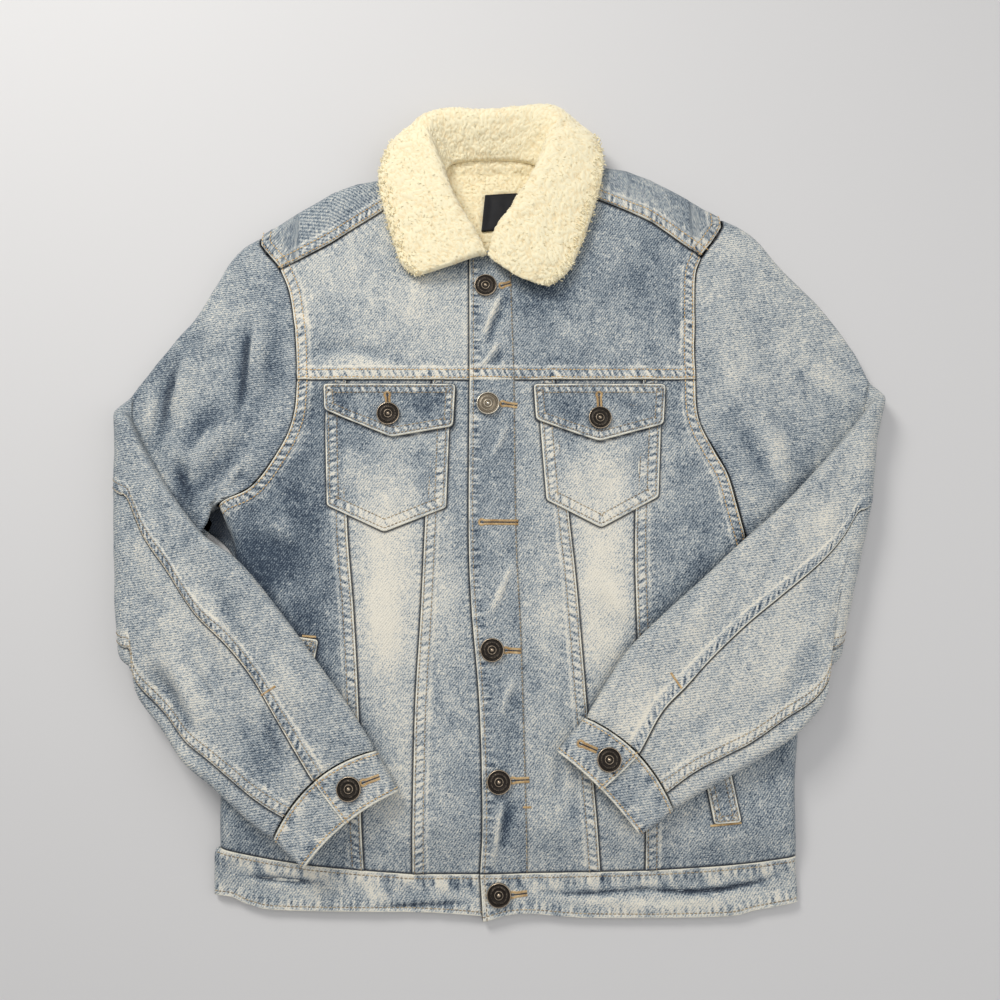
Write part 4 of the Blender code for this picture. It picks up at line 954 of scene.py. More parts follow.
seamRows = {
    "felled": (0.0004, 0.0010, 0.0018, 0.0030, 0.0044, 0.0058, 0.0072, 0.0084, 0.0094, 0.0106, 0.0122, 0.0142,
               0.0166),
    "tucked": (0.0004, 0.0010, 0.0020, 0.0036, 0.0058, 0.0084),
    "free": (0.0004, 0.0009, 0.0016, 0.0026, 0.0038, 0.0052, 0.0070, 0.0092),
    "flush": (0.0030,),
}


def seamSeeds(outline, edges, extra=()):
    # the points of a panel: rows along its seams, and a loose grid inside
    seeds = []
    loose = hexGrid(outline, body["mesh"])
    for name, kind in edges.items():
        line = seamLine[name]
        seeds += [alongside(line, side * away) for away in seamRows[kind] for side in (1, -1)]
        loose = loose[nearest(loose, line)[0] >= seamRows[kind][-1] + 0.5 * body["mesh"]]
    seeds = np.vstack(seeds + [loose] + list(extra))
    return spaced(seeds[inside(seeds, outline)], 0.00055)


def spaced(points, least):
    # drops points that share a small cell with another
    cells = np.floor(points / least).astype(int)
    keep = np.unique(cells, axis=0, return_index=True)[1]
    return points[np.sort(keep)]


# the flat pieces of the front, each with its edges in order; a minus sign runs a line backwards
Panel = namedtuple("Panel", "name node thickness base edges")
frontPanels = (
    Panel("frontYokeLeft", "front_yoke_left", 0.002, 0.60,
          {"shoulderLeft": "tucked", "armholeHighLeft": "felled", "armholeYokeLeft": "felled",
           "yokeSideLeft": "felled", "yokeMidLeft": "felled", "yokeCentreLeft": "felled",
           "-edgeHigh": "tucked", "-neckLeft": "tucked"}),
    Panel("frontYokeRight", "front_yoke_right", 0.002, 0.42,
          {"stitchHigh": "flush", "yokeCentreRight": "felled", "yokeMidRight": "felled",
           "yokeSideRight": "felled", "-armholeYokeRight": "felled", "-armholeHighRight": "felled",
           "-shoulderRight": "tucked", "-neckRight": "tucked"}),
    Panel("frontSideLeft", "front_side_left", 0.002, 0.41,
          {"armholeLowLeft": "felled", "sideLeft": "flush", "hemSideLeft": "tucked", "-outerLeft": "felled",
           "-yokeSideLeft": "tucked"}),
    Panel("frontMidLeft", "front_mid_left", 0.002, 0.50,
          {"outerLeft": "tucked", "hemMidLeft": "tucked", "-innerLeft": "tucked", "-yokeMidLeft": "tucked"}),
    Panel("frontCentreLeft", "front_centre_left", 0.002, 0.50,
          {"innerLeft": "felled", "hemCentreLeft": "tucked", "-edgeLow": "tucked",
           "-yokeCentreLeft": "tucked"}),
    Panel("placketBand", "placket", 0.004, 0.44,
          {"edgeHigh": "free", "edgeLow": "free", "hemPlacket": "tucked", "-stitchLow": "flush",
           "-stitchHigh": "flush", "-neckCentre": "free"}),
    Panel("frontCentreRight", "front_centre_right", 0.002, 0.52,
          {"stitchLow": "flush", "hemCentreRight": "tucked", "-innerRight": "felled",
           "-yokeCentreRight": "tucked"}),
    Panel("frontMidRight", "front_mid_right", 0.002, 0.54,
          {"innerRight": "tucked", "hemMidRight": "tucked", "-outerRight": "tucked",
           "-yokeMidRight": "tucked"}),
    Panel("frontSideRight", "front_side_right", 0.002, 0.46,
          {"outerRight": "felled", "hemSideRight": "tucked", "-sideRight": "flush",
           "-armholeLowRight": "felled", "-yokeSideRight": "tucked"}),
    Panel("waistbandLeft", "waistband_left", 0.003, 0.63,
          {"bandEndLeft": "flush", "bandLowLeft": "free", "-bandEdge": "tucked", "-hemCentreLeft": "free",
           "-hemMidLeft": "free", "-hemSideLeft": "free"}),
    Panel("waistbandRight", "waistband_right", 0.003, 0.60,
          {"bandEdge": "free", "bandLowRight": "free", "-bandEndRight": "flush", "-hemSideRight": "free",
           "-hemMidRight": "free", "-hemCentreRight": "free", "-hemPlacket": "free"}),
)


def seamsOf(panel):
    return {name.lstrip("-"): kind for name, kind in panel.edges.items()}


def placketShare(points):
    # 0 at the placket's free edge, 1 at its line of stitches
    first, second = (nearest(points, np.vstack([seamLine[name + "High"], seamLine[name + "Low"][1:]]))[0]
                     for name in ("edge", "stitch"))
    return first / np.maximum(first + second, 1e-9)


def liftOf(points, node):
    # how far a piece lies above the face of the fronts
    if node == "placket":
        return 0.0002 + (body["placketLift"] - 0.0002) * (1 - ease((placketShare(points) - 0.45) / 0.55))
    if node == "waistband_right":
        away = nearest(points, seamLine["bandEdge"])[0]
        return body["bandLift"] * (1 - ease((away - 0.030) / 0.030))
    return np.zeros(len(points))


bandCreases = creasesOf(
    (2.4, -2.6, -224, -336, -190, -340.5, -147, -343.5),
    (3.5, 1.1, -210, -330, -180, -334.5, -140, -338),
    (2.2, -2, -110, -363, -60, -361, -20, -358.5),
    (2.2, -2.4, 30, -351, 80, -351.5, 130, -348),
    (2.4, -2.8, 110, -347, 165, -350.5, 215, -344, 245, -334.5),
    (6, 1.4, 30, -356, 90, -358, 160, -362, 230, -356),
    (4, 1, 120, -354, 170, -357, 220, -351),
    (4, 1, -105, -340, -100, -352, -104, -362),
    (5, 0.9, -60, -341, -56, -351, -60, -363),
)


def bandPuckers(points):
    # short upright puckers that run down from the waistband's seam, and fewer up from its fold
    fromSeam = nearest(points, np.vstack([seamLine[name] for name in hemSeams]))[0]
    leaning = points + np.column_stack([0.5 * points[:, 1], np.zeros(len(points))])
    streaks = noise(leaning * (1, 0.30), 0.0085, 15)
    return streaks * (hump(fromSeam - 0.008, 0.009) + 0.20 * hump(fromSeam - 0.028, 0.006))


def chestSeam(points):
    # the chest seam where it crosses the placket
    return seamForm(points, {"yokePlacket": "felled"}) * (points[:, 1] > lines["yokePlacket"][0][1])


def panelTop(points, panel):
    height = frontFace(points) + liftOf(points, panel.node) + seamForm(points, seamsOf(panel))[0]
    if panel.node == "placket":
        height += chestSeam(points)[0]
    if panel.node.startswith("waistband"):
        height += (creased(points, bandCreases) + 0.0006 * noise(points, 0.012, 12)
                   + 0.0007 * bandPuckers(points))
    return height


forearmEdges = [through(grouped(row), 0.004) for row in (
    (-294, -8, -264, -44, -231, -68, -196, -108, -161, -153, -131, -193, -106.5, -230),
    (285, 15, 249, -21, 213, -52, 177, -85, 143, -115, 108, -150, 74, -203),
)]


def panelMarks(points, panel):
    _, ropes, worn = seamForm(points, seamsOf(panel))
    if panel.node == "placket":
        band = chestSeam(points)
        ropes += band[1]
        worn += band[2]
        ropes += 0.5 * noise(points, 0.008, 14) * hump(placketShare(points) - 0.16, 0.12)
    # painted light on the creases: paler crests, darker troughs and cream highlights on the highest crests;
    # painted shadow beside the forearms
    crest = creased(points, bodyCreases) / 0.002
    tone = 0.26 if panel.node == "placket" else 0.16
    level = (washAndPaintedShade(points, panel.base) + tone * np.clip(crest, -1.4, 1.2)
             - 0.16 * besideForearms(points, 0.013))
    worn -= 0.35 * besideForearms(points, 0.005)
    worn += 1.2 * tone * np.clip(crest - 0.7, 0, 1)
    if panel.node.startswith("waistband"):
        # painted highlights on the waistband's folds and puckers, and painted shade in their troughs
        folds = creased(points, bandCreases) / 0.0015
        level += 0.26 * folds + 0.18 * noise(points, 0.016, 12)
        worn += 0.5 * np.clip(folds - 0.5, 0, 1) - 0.9 * np.clip(-folds - 0.5, 0, 1)
        level += bandPuckers(points) * 0.42
    near = (np.abs(points[:, 1]) < 0.3) & (np.abs(points[:, 0]) > 0.02)
    # painted shade round the pockets, flaps and welts
    worn[near] -= 1.1 * besidePatches(points[near], patchOutlines)
    return {"fade": level, "edge": worn, "rope": ropes}


def makeFronts():
    pieces = {}
    for number, panel in enumerate(frontPanels):
        outline = shrink(outlineOf(panel.edges), 0.00008)
        if panel.node == "placket":
            extra = [alongside(seamLine["yokePlacket"], away) for away in seamRows["felled"]]
            extra += [hexGrid(outline, 0.0026)]
        elif panel.node.startswith("waistband"):
            extra = [hexGrid(outline, 0.0025)]
        else:
            extra = [shrink(patchOutlines[node], -away) for node in patchOutlines
                     for away in (0.0006, 0.0022, 0.0040)]
        piece = plate(panel.name, outline, seamSeeds(outline, seamsOf(panel), extra),
                      lambda p: panelTop(p, panel),
                      lambda p: frontFace(p) - body["ditch"] - panel.thickness * 0.55, cloth,
                      lambda p: panelMarks(p, panel), 0.02, lambda p: p + (0.37 * number, 0.11 * number))
        pieces[panel.node] = finished(piece, "denim", panel.node)
        layFlat(piece, outline)
    return pieces


# ---- pockets, flaps and welts

patchKinds = {
    # rows of stitches from the edge, how far the edge stands up, and the width of its turned hem
    "pocket": {"rows": (0.0030, 0.0105), "lifted": 0.0, "mesh": 0.0040},
    "flap": {"rows": (0.0024, 0.0080), "lifted": 0.0007, "mesh": 0.0032},
    "welt": {"rows": (0.0022, 0.0062), "lifted": 0.0, "mesh": 0.0036},
}
PatchPiece = namedtuple("PatchPiece", "name node kind lift base corners")
flapLift = body["seat"] + body["patch"] + 0.0003
patchPieces = (
    PatchPiece("pocketLeft", "pocket_left", "pocket", body["seat"], 0.44,
               ((-0.1595, 0.092), (-0.1595, 0.056), (-0.1560, -0.017), (-0.1040, -0.041), (-0.0485, -0.019),
                (-0.0465, 0.054), (-0.0465, 0.092))),
    PatchPiece("pocketRight", "pocket_right", "pocket", body["seat"], 0.44,
               ((0.0365, 0.092), (0.037, 0.056), (0.042, -0.012), (0.091, -0.037), (0.143, -0.009),
                (0.147, 0.059), (0.147, 0.092))),
    PatchPiece("flapLeft", "flap_left", "flap", flapLift, 0.33,
               ((-0.162, 0.0955), (-0.160, 0.071), (-0.099, 0.046), (-0.043, 0.056), (-0.041, 0.0955))),
    PatchPiece("flapRight", "flap_right", "flap", flapLift, 0.38,
               ((0.031, 0.0955), (0.033, 0.062), (0.090, 0.042), (0.149, 0.058), (0.152, 0.0955))),
    PatchPiece("weltLeft", "welt_left", "welt", body["seat"], 0.42,
               ((-0.180, -0.134), (-0.204, -0.283), (-0.184, -0.287), (-0.160, -0.137))),
    PatchPiece("weltRight", "welt_right", "welt", body["seat"], 0.46,
               ((0.157, -0.146), (0.183, -0.293), (0.206, -0.291), (0.178, -0.143))),
)
curledCorners = (
    # place, reach and height of a corner that has curled up
    ((-0.161, 0.069), 0.020, 0.0030),
    ((-0.042, 0.056), 0.012, 0.0008),
    ((0.033, 0.061), 0.012, 0.0010),
    ((0.150, 0.057), 0.014, 0.0014),
)
patchCreases = creasesOf(
    (6, -1.1, -152, 88, -140, 72, -128, 62),
    (5, 0.9, -130, 90, -112, 79, -100, 84),
    (6, -0.9, -90, 86, -75, 74, -60, 66),
    (6, -1, 45, 88, 58, 73, 72, 60),
    (6, -0.9, 110, 86, 122, 73, 138, 66),
    (5, 0.8, 100, 92, 118, 84, 140, 82),
    (9, 1, -140, 40, -132, 15, -135, -8),
    (9, -0.9, -75, 38, -72, 10, -66, -10),
    (8, 1, 62, 30, 66, 8, 62, -10),
    (10, -1, 120, 36, 126, 10, 120, -10),
)


def cornered(corners, radius, step=0.0018):
    # a closed outline through corners, each a little rounded
    corners = np.array(corners, float)
    out = []
    for before, here, after in zip(np.roll(corners, 1, 0), corners, np.roll(corners, -1, 0)):
        way = [(p - here) / np.linalg.norm(p - here) for p in (before, after)]
        first, last = here + way[0] * radius, here + way[1] * radius
        for t in np.linspace(0, 1, 4):
            out.append((1 - t) ** 2 * first + 2 * t * (1 - t) * here + t * t * last)
    out = np.array(out)
    ring = closed(out)
    count = round(lengthOf(ring) / step)
    return atShare(ring, np.arange(count) / count)


patchOutlines = {patch.node: cornered(patch.corners, 0.0035 if patch.kind == "flap" else 0.0025)
                 for patch in patchPieces}


def besideForearms(points, reach):
    # where the cloth lies in the shade of a forearm, from 0 to 1
    return np.max([hump(nearest(points, line)[0], reach) for line in forearmEdges], axis=0)


def besidePatches(points, nodes):
    # the dark line of shade round what is sewn on
    return np.max([hump(nearest(points, closed(patchOutlines[node]))[0], 0.0019) for node in nodes], axis=0)


fronts = makeFronts()
print("stage: fronts", sum(len(p.data.polygons) for p in fronts.values()))


def patchForm(points, patch, outline):
    kind = patchKinds[patch.kind]
    away, along = nearest(points, closed(outline))
    first, second = kind["rows"]
    pull = rope(along + 0.4 * away, len(patch.name))
    between = ease((away - first) / 0.0015) * ease((second - away) / 0.0015)
    sunk = sum(hump(away - row, 0.0008) for row in kind["rows"])
    hem = 1 - ease((away - second) / 0.0022)
    height = 0.0009 * (rounded(away) - 1) - 0.00026 * sunk + 0.00035 * pull * between + 0.0005 * (hem - 1)
    height += kind["lifted"] * hem + 0.0006 * noise(points, 0.021, 21)
    if patch.kind == "flap":
        for place, reach, rise in curledCorners:
            height += rise * hump(np.linalg.norm(points - np.array(place), axis=1), reach * 0.62)
    ropes = pull * (between + 0.3 * hump(away - second - 0.003, 0.003)) + 0.3 * between
    return height, ropes, 1.05 * hump(away, 0.0012)


def patchTop(points, patch, outline):
    height = frontFace(points) + patch.lift + body["patch"] + patchForm(points, patch, outline)[0]
    return height + creased(points, patchCreases) * (0.6 if patch.kind == "pocket" else 1.0)


def patchMarks(points, patch, outline):
    _, ropes, worn = patchForm(points, patch, outline)
    # painted highlights on the creases' crests and painted shade in their troughs
    level = washAndPaintedShade(points, patch.base) + 0.14 * np.clip(creased(points, patchCreases) / 0.001, -1, 1)
    if patch.kind == "pocket":
        # painted shadow of the flap on its pocket
        worn = worn - 1.2 * besidePatches(points, [patch.node.replace("pocket", "flap")])
    return {"fade": level, "edge": worn, "rope": ropes}


def makePatches():
    for number, patch in enumerate(patchPieces):
        outline = patchOutlines[patch.node]
        rows = [shrink(outline, away) for away in (0.0004, 0.0009, 0.0016, 0.0026, 0.0040, 0.0055, 0.0072,
                                                   0.0088, 0.0104, 0.0124)]
        loose = hexGrid(outline, patchKinds[patch.kind]["mesh"])
        seeds = np.vstack(rows + [loose[depthInside(loose, outline) > 0.0140]])
        piece = plate(patch.name, outline, spaced(seeds[inside(seeds, outline)], 0.0006),
                      lambda p: patchTop(p, patch, outline),
                      lambda p: patchTop(p, patch, outline) - 0.0012, cloth,
                      lambda p: patchMarks(p, patch, outline), 0.006,
                      lambda p: p + (4.1 + 0.23 * number, 0.3))
        layFlat(finished(piece, "denim", patch.node), outline)


makePatches()
print("stage: pockets, flaps and welts")

# ---- the back

backNeck = through(((0.0425, 0.3060), (0.0330, 0.3190), (-0.0080, 0.3230), (-0.0450, 0.3190),
                    (-0.0545, 0.3060)), 0.004)


def backFace(points, walls):
    edge = sideHeight(bodyHeight(points[:, 1])) - walls - 0.0003
    return np.maximum(edge, 0) * (1 - sideRounding(points))


back = {"armpit": (0.030, 0.026, -0.024)}  # how far, how long and where it is fuller


def makeBack():
    panels = (
        ("backPanel", "back", leftSide[2:] + hemSeams + rightSide[:3] + ("-backYoke",), 2 * body["cloth"]),
        ("waistbandBack", "waistband_back", hemEdges
         + tuple("-" + name for name in hemSeams[::-1]), body["cloth"] + body["band"]),
    )
    for name, node, names, walls in panels:
        outline = outlineOf(names)[::2]
        # the back reaches out under the left arm, and is painted near black there as the shade in the gap
        if node == "back":  # a little fuller under the arm, where it lies in the shade
            out, long, low = back["armpit"]
            outline[:, 0] -= out * hump(outline[:, 1] - low, long) * (outline[:, 0] < -0.2)
        outline = shrink(outline, 0.0001)
        seeds = hexGrid(outline, 0.010)
        rows = [alongside(edge, away) for edge in sideEdges for away in (0.002, -0.002, 0.005, -0.005, 0.009,
                                                                        -0.009)]
        seeds = spaced(np.vstack([seeds] + rows), 0.0012)
        seeds = seeds[inside(seeds, outline)]

        def marks(points):
            # painted shade: near black under the left arm
            shaded = hump(points[:, 1] - back["armpit"][2], 0.030) * (points[:, 0] < -0.225)
            return {"fade": washAndPaintedShade(points, 0.42), "edge": -1.3 * shaded, "rope": np.zeros(len(points))}

        piece = plate(name, outline, seeds, lambda p: backFace(p, walls) + body["cloth"],
                      lambda p: backFace(p, walls), cloth, marks, 0.006, lambda p: p + (2.2, 1.3))
        layFlat(finished(piece, "denim", node), outline)


makeBack()

# the back yoke, from left to right: its lower edge on the back, its fold at the shoulder, its front edge,
# and how far round the fold it goes
yokeColumns = [(*grouped(row[:4], 4)[0], row[4]) for row in (
    (-225.6, 233, 245, 233, 1.0), (-216, 221, 252.5, 221, 1.0), (-206.2, 210, 260, 209.5, 1.0),
    (-196.2, 186, 267, 215, 1.0), (-190, 150.5, 271, 218.5, 1.0), (-161, 150.5, 289, 235, 1.0),
    (-138, 150.5, 298.5, 250.5, 1.0), (-112, 150.5, 304, 267.5, 1.0), (-88, 150.5, 310, 284.5, 1.0),
    (-68, 150.5, 313, 298.5, 1.0), (-62, 150.5, 314, 306, 0.30), (-57, 150.5, 315, 314, 0.06),
    (-8, 150.5, 316.5, 316, 0.06), (44, 150.5, 315, 314, 0.06), (49, 150.5, 315, 308, 0.30),
    (55, 150.5, 317, 299.5, 1.0), (70, 150.5, 318, 292, 1.0), (93, 150.5, 317, 280, 1.0),
    (121, 150.5, 313, 268, 1.0), (145, 150.5, 303, 256, 1.0), (180, 150.5, 283, 229, 1.0),
    (182.6, 201, 281, 227.5, 1.0), (189.2, 221.5, 277, 222.5, 1.0), (200, 236, 270, 236, 1.0),
    (209.4, 251, 264, 251, 1.0),
)]
yokeTail = 0.0024
yokeSeams = [seamLine["shoulderLeft"], seamLine["shoulderRight"]] + [
    through(grouped(row), seamStep) for row in (
    (-226, 245, -225.6, 232.8, -216, 220.8, -206.2, 209.3), (209.6, 264, 209.4, 251, 200, 236, 189.2, 222.2))]
yokeCreases = creasesOf(
    (8, 1.2, -190, 240, -165, 262, -140, 278),
    (6, -1, -100, 296, -85, 298, -72, 304),
    (9, 1, 80, 300, 110, 294, 140, 280),
    (7, -1, 165, 270, 185, 258, 198, 246),
)


def yokeForm(points):
    # the two felled seams of the shoulder and armhole, on the part of the yoke that lies in front
    total = np.zeros((3, len(points)))
    for number, line in enumerate(yokeSeams):
        away, along = nearest(points, line)
        total += np.array(felledRise(away, along, 0.9 + number))
    total[2] = np.clip(total[2], -1, 1.2)
    return total


def makeBackYoke():
    radius = body["height"] / 2
    front = 1 - np.linspace(1, 0, 20)[1:] ** 1.5
    grid = []
    for x, start, fold, finish, turn in yokeColumns:
        centre = fold - radius
        path = [(y, 0.0) for y in np.linspace(start, centre, 9)[:-1]]
        for share in np.linspace(0, 1, 15):
            angle = math.pi * (turn * share - 0.5)
            path.append((centre + radius * math.cos(angle), radius + radius * math.sin(angle)))
        end = finish if turn == 1 else path[-1][0] - yokeTail * math.sin(angle)
        rise = 0 if turn == 1 else yokeTail * math.cos(angle)
        last = path[-1]
        path += [(last[0] + (end - last[0]) * k, last[1] + rise * k) for k in front]
        grid.append([(x, y, z) for y, z in path])
    grid = np.array(grid)
    x = grid[:, 0, 0]
    fine = np.unique(np.concatenate([x, np.arange(x[0], x[-1], 0.0022), x[0] + [0.0004, 0.0009],
                                     x[-1] - [0.0004, 0.0009]]))
    fine = fine[np.concatenate([[True], np.diff(fine) > 0.0002])]
    face = np.stack([[np.interp(fine, x, grid[:, j, k]) for j in range(grid.shape[1])] for k in range(3)], -1)
    face = face.transpose(1, 0, 2)
    plan = face[..., :2].reshape(-1, 2)
    onFront = ease((face[..., 2] - 0.012) / 0.006)
    height, ropes, worn = (v.reshape(onFront.shape) * onFront for v in yokeForm(plan))
    soft = 0.0007 * noise(plan, 0.04, 31) + creased(plan, yokeCreases)
    relief = height + soft.reshape(onFront.shape) * onFront
    path = pathLengths(face, 1)
    uv = np.stack([face[..., 0] + 6.0, path], -1)
    level = washAndPaintedShade(plan, 0.40).reshape(onFront.shape) + 0.04 * onFront
    piece = shell("backYoke", face, body["cloth"], cloth, lambda p: np.array(p) - (p[0], p[1], radius), uv,
                  {"fade": level, "edge": worn, "rope": ropes}, relief=relief)
    finished(piece, "denim", "back_yoke")
    return face, relief


yokeFace, yokeRelief = makeBackYoke()
print("stage: back")

# ---- the sleeves

sleeve = {
    "wall": 0.0020, "foldRadius": 0.009, "foldHeight": 0.017, "foldThickness": 0.016, "edgeRoom": 0.0035,
    "rest": 0.0026, "armHeight": (0.022, 0.016), "armThins": (0.26, 0.32), "armGap": 0.001,
    "drapeOut": 0.085, "drapeFull": 0.012,
    "rowStep": 0.0023,
    "creases": {"left": 1.75, "right": 1.0},  # how much deeper than listed
    "fade": {"left": 0.46, "right": 0.56},
}
armholes = {name: grouped(row) for name, row in {
    "left": (-227.5, 244, -226.5, 230.5, -216.5, 219, -207, 208.3, -197.5, 185, -191, 150, -189.4, 132,
             -187.4, 101, -188.4, 72.8, -193.4, 51.7, -202.7, 33, -216, 12.5, -229.2, -1.2, -245.6, -9.2,
             -258, -15.5),
    "right": (211.8, 262.5, 211.2, 248.7, 200.9, 234.5, 190, 220.3, 183.5, 200, 181.5, 150, 180.5, 132, 180.5,
              101, 180.5, 75.2, 184.5, 56.3, 196.7, 33.8, 208, 12.8, 214.7, -14.6, 222.6, -50),
}.items()}
# each row: upper edge, lower edge, bow, thickness, and how far from the upper edge the two seams lie
SleeveRow = namedtuple("SleeveRow", "upper lower bow thickness backSeam underSeam")
Section = namedtuple("Section", "kind angle line thickness backSeam underSeam")


def sleeveRowsOf(*rows):
    # each row: upper, lower and thickness in millimetres, bow, backSeam, underSeam
    return tuple(SleeveRow(*grouped(row[:4]), row[5], round(row[4] / 1000, 6), *row[6:]) for row in rows)


upperArms = {
    "left": sleeveRowsOf(
        (-227.5, 244, -258, -15.5, 22, 1.0, 0.40, 0.93),
        (-248, 229, -273, -30, 22, 0.55, 0.39, 0.93),
        (-266, 199, -280, -66, 21, 0.36, 0.38, 0.93),
        (-285, 166, -289, -94, 19, 0.20, 0.37, 0.93),
        (-305, 141, -298, -118, 17, 0.10, 0.36, 0.93),
        (-325, 115, -307, -133, 16, 0.0, 0.36, 0.93),
    ),
    "right": sleeveRowsOf(
        (211.8, 262.5, 222.6, -50, 22, 1.0, 0.46, 0.93),
        (238, 247, 238, -64, 22, 0.72, 0.46, 0.93),
        (264, 216, 251, -78, 21, 0.45, 0.45, 0.93),
        (289, 189, 261, -96, 19, 0.25, 0.45, 0.93),
        (311, 163, 268, -116, 17, 0.10, 0.44, 0.93),
        (332, 131, 275, -133, 16, 0.0, 0.44, 0.93),
    ),
}
elbows = {
    "left": (
        grouped((-340.5, 92, -334.5, 15, -329, -65, -321, -120, -315, -145)),
        grouped((-336.5, 62, -333.5, 10, -329.5, -65, -323.5, -126, -319.5, -162)),
    ),
    "right": (
        grouped((342, 106, 328, 45, 319, -15, 306, -65, 292, -115, 285, -145)),
        grouped((338, 76, 325.5, 30, 319, -20, 305.5, -70, 290, -125, 281, -164)),
    ),
}
forearms = {
    "left": sleeveRowsOf(
        (-319, 29, -315, -188, 16, 0.0, 0.33, 0.93),
        (-294, -8, -292, -215, 16, 0.0, 0.33, 0.92),
        (-264, -44, -269, -240, 16, 0.0, 0.36, 0.91),
        (-231, -68, -248, -258, 16, 0.0, 0.38, 0.90),
        (-196, -108, -232, -272, 15, 0.0, 0.40, 0.89),
        (-161, -153, -217, -285, 15, 0.004, 0.43, 0.87),
        (-131, -193, -204, -295, 14, 0.009, 0.46, 0.85),
        (-106.5, -230, -191.5, -303, 14, 0.014, 0.50, 0.83),
    ),
    "right": sleeveRowsOf(
        (317, 50, 280, -187, 16, 0.0, 0.42, 0.93),
        (285, 15, 265, -207, 16, 0.0, 0.40, 0.92),
        (249, -21, 240, -226, 16, 0.0, 0.38, 0.90),
        (213, -52, 215, -242, 16, 0.0, 0.38, 0.90),
        (177, -85, 192, -254, 15, 0.0, 0.40, 0.89),
        (143, -115, 174, -264, 15, 0.004, 0.42, 0.87),
        (108, -150, 160, -272, 14, 0.009, 0.43, 0.86),
        (74, -203, 147.5, -280, 14, 0.011, 0.49, 0.85),
    ),
}
armCreases = {
    "left": creasesOf(
        (7.5, -3, -301, 124, -306, 98, -311, 64, -319, 36),
        (3, -3.4, -301.2, 116, -305.6, 96, -311.5, 66),
        (3, 1.8, -296, 112, -300, 92, -305, 66),
        (2.6, -3.4, -234.8, 150, -236.2, 120, -238.5, 86, -244, 62),
        (4.4, -4.4, -298.5, 26, -290, 8, -278, -10),
        (2.4, 1.4, -286, 34, -270, 48, -252, 56, -233, 72),
        (3.6, -4, -240, 10, -230, 4, -220, 8),
        (3, 2.2, -228.5, 150, -230, 120, -232.2, 90),
        (3.6, -1.8, -229, 187, -215, 197, -203, 205),
        (3.6, 1.2, -225.5, 196, -213, 205, -206, 211),
        (8, 2.2, -290, 128, -294, 95, -299, 62),
        (7.5, -2.6, -234, 158, -236.2, 120, -237.5, 80),
        (8, 1.8, -224, 150, -225, 115, -224, 85),
        (6.5, 3, -285, 8, -262, 38, -233, 57),
        (7, -2.8, -276, -8, -254, 20, -226, 38),
        (8, -2, -290, 36, -272, 60, -248, 78),
        (6, 1.8, -245, 14, -230, 24, -212, 28),
        (10, 1.6, -260, 190, -268, 160, -270, 130),
        (9, -1.4, -213, 160, -211, 120, -209, 80),
        (6, 1.4, -320, 92, -322, 70, -323, 45),
    ),
    "right": creasesOf(
        (8, 2.6, 236, 66, 250, 38, 264, 6),
        (8, -2.4, 222, 60, 236, 28, 246, -4),
        (8, -2, 252, 80, 268, 52, 284, 26),
        (8, 2.2, 276, 128, 300, 104, 322, 83),
        (8, -1.8, 270, 112, 292, 90, 310, 72),
        (10, 1.4, 205, 150, 214, 110, 212, 70),
        (12, -1.4, 232, 190, 246, 150, 250, 110),
        (6, -2, 196, 40, 204, 18, 216, -10),
    ),
}
forearmCreases = {
    "left": creasesOf(
        (9, 2.2, -292, -148, -272, -178, -250, -210),
        (6, -2.4, -205, -196, -193, -222, -183, -248),
        (3, -1.2, -268, -150, -256, -172, -240, -196),
        (8.5, -1.8, -302, -160, -282, -192, -262, -222),
        (9, 2, -266, -92, -246, -125, -226, -164),
        (8, -1.5, -252, -88, -232, -122, -214, -152),
        (9, 1.6, -318, -20, -310, -60, -304, -100),
        (8, 1.4, -200, -150, -182, -176, -168, -205),
        (8.5, -1.6, -226, -200, -206, -230, -190, -262),
        (6, 1.4, -176, -218, -160, -240, -150, -258),
        (7, 1.4, -300, -212, -270, -236, -244, -252),
    ),
    "right": creasesOf(
        (9, 2.2, 262, -130, 246, -158, 224, -184),
        (8.5, -1.8, 274, -128, 256, -164, 238, -196),
        (8, 2, 196, -85, 178, -112, 156, -142),
        (9, 1.6, 306, -5, 288, -40, 282, -80),
        (8.5, -1.5, 262, -40, 240, -68, 228, -100),
        (8, -1.6, 206, -178, 186, -200, 160, -222),
        (7, 1.4, 130, -176, 122, -204, 124, -232),
        (7, 1.4, 262, -206, 236, -222, 206, -236),
    ),
}
# patches of wash on the arms; the darker one at (-288, -6) is painted shade in the fold valley beside the
# left forearm
armFadesAndPaintedShade = patchesOf(
    (-250, 180, 40, 60, 0.02), (-300, 60, 30, 50, 0.04), (-225, 60, 28, 60, -0.06), (-288, -6, 16, 22, -0.16),
    (-262, 45, 18, 18, 0.04), (230, 180, 50, 60, 0.06), (300, 110, 40, 40, 0.03), (215, 20, 25, 50, -0.08),
)
forearmFades = patchesOf(
    (-280, -130, 45, 60, 0.10), (-220, -190, 45, 50, 0.06), (-300, -20, 30, 40, -0.06),
    (-160, -220, 30, 40, 0.04), (270, -90, 45, 60, 0.09), (170, -170, 50, 45, 0.08), (300, 10, 30, 40, -0.05),
    (110, -200, 30, 35, 0.08),
)
bodyOutline = outlineOf(leftSide + hemEdges + rightSide)
bodyOutline = np.vstack([bodyOutline[::4], [lines["shoulderRight"][0]], backNeck[::2]])


def outwardOf(side):
    return -1 if side == "left" else 1


def bowed(row, side, sweep):
    upper, lower = np.array(row.upper), np.array(row.lower)
    way = (lower - upper) / np.linalg.norm(lower - upper)
    back = np.array([way[1], -way[0]]) * -outwardOf(side)
    return upper + sweep[:, None] * (lower - upper) + (4 * sweep * (1 - sweep))[:, None] * back * row.bow


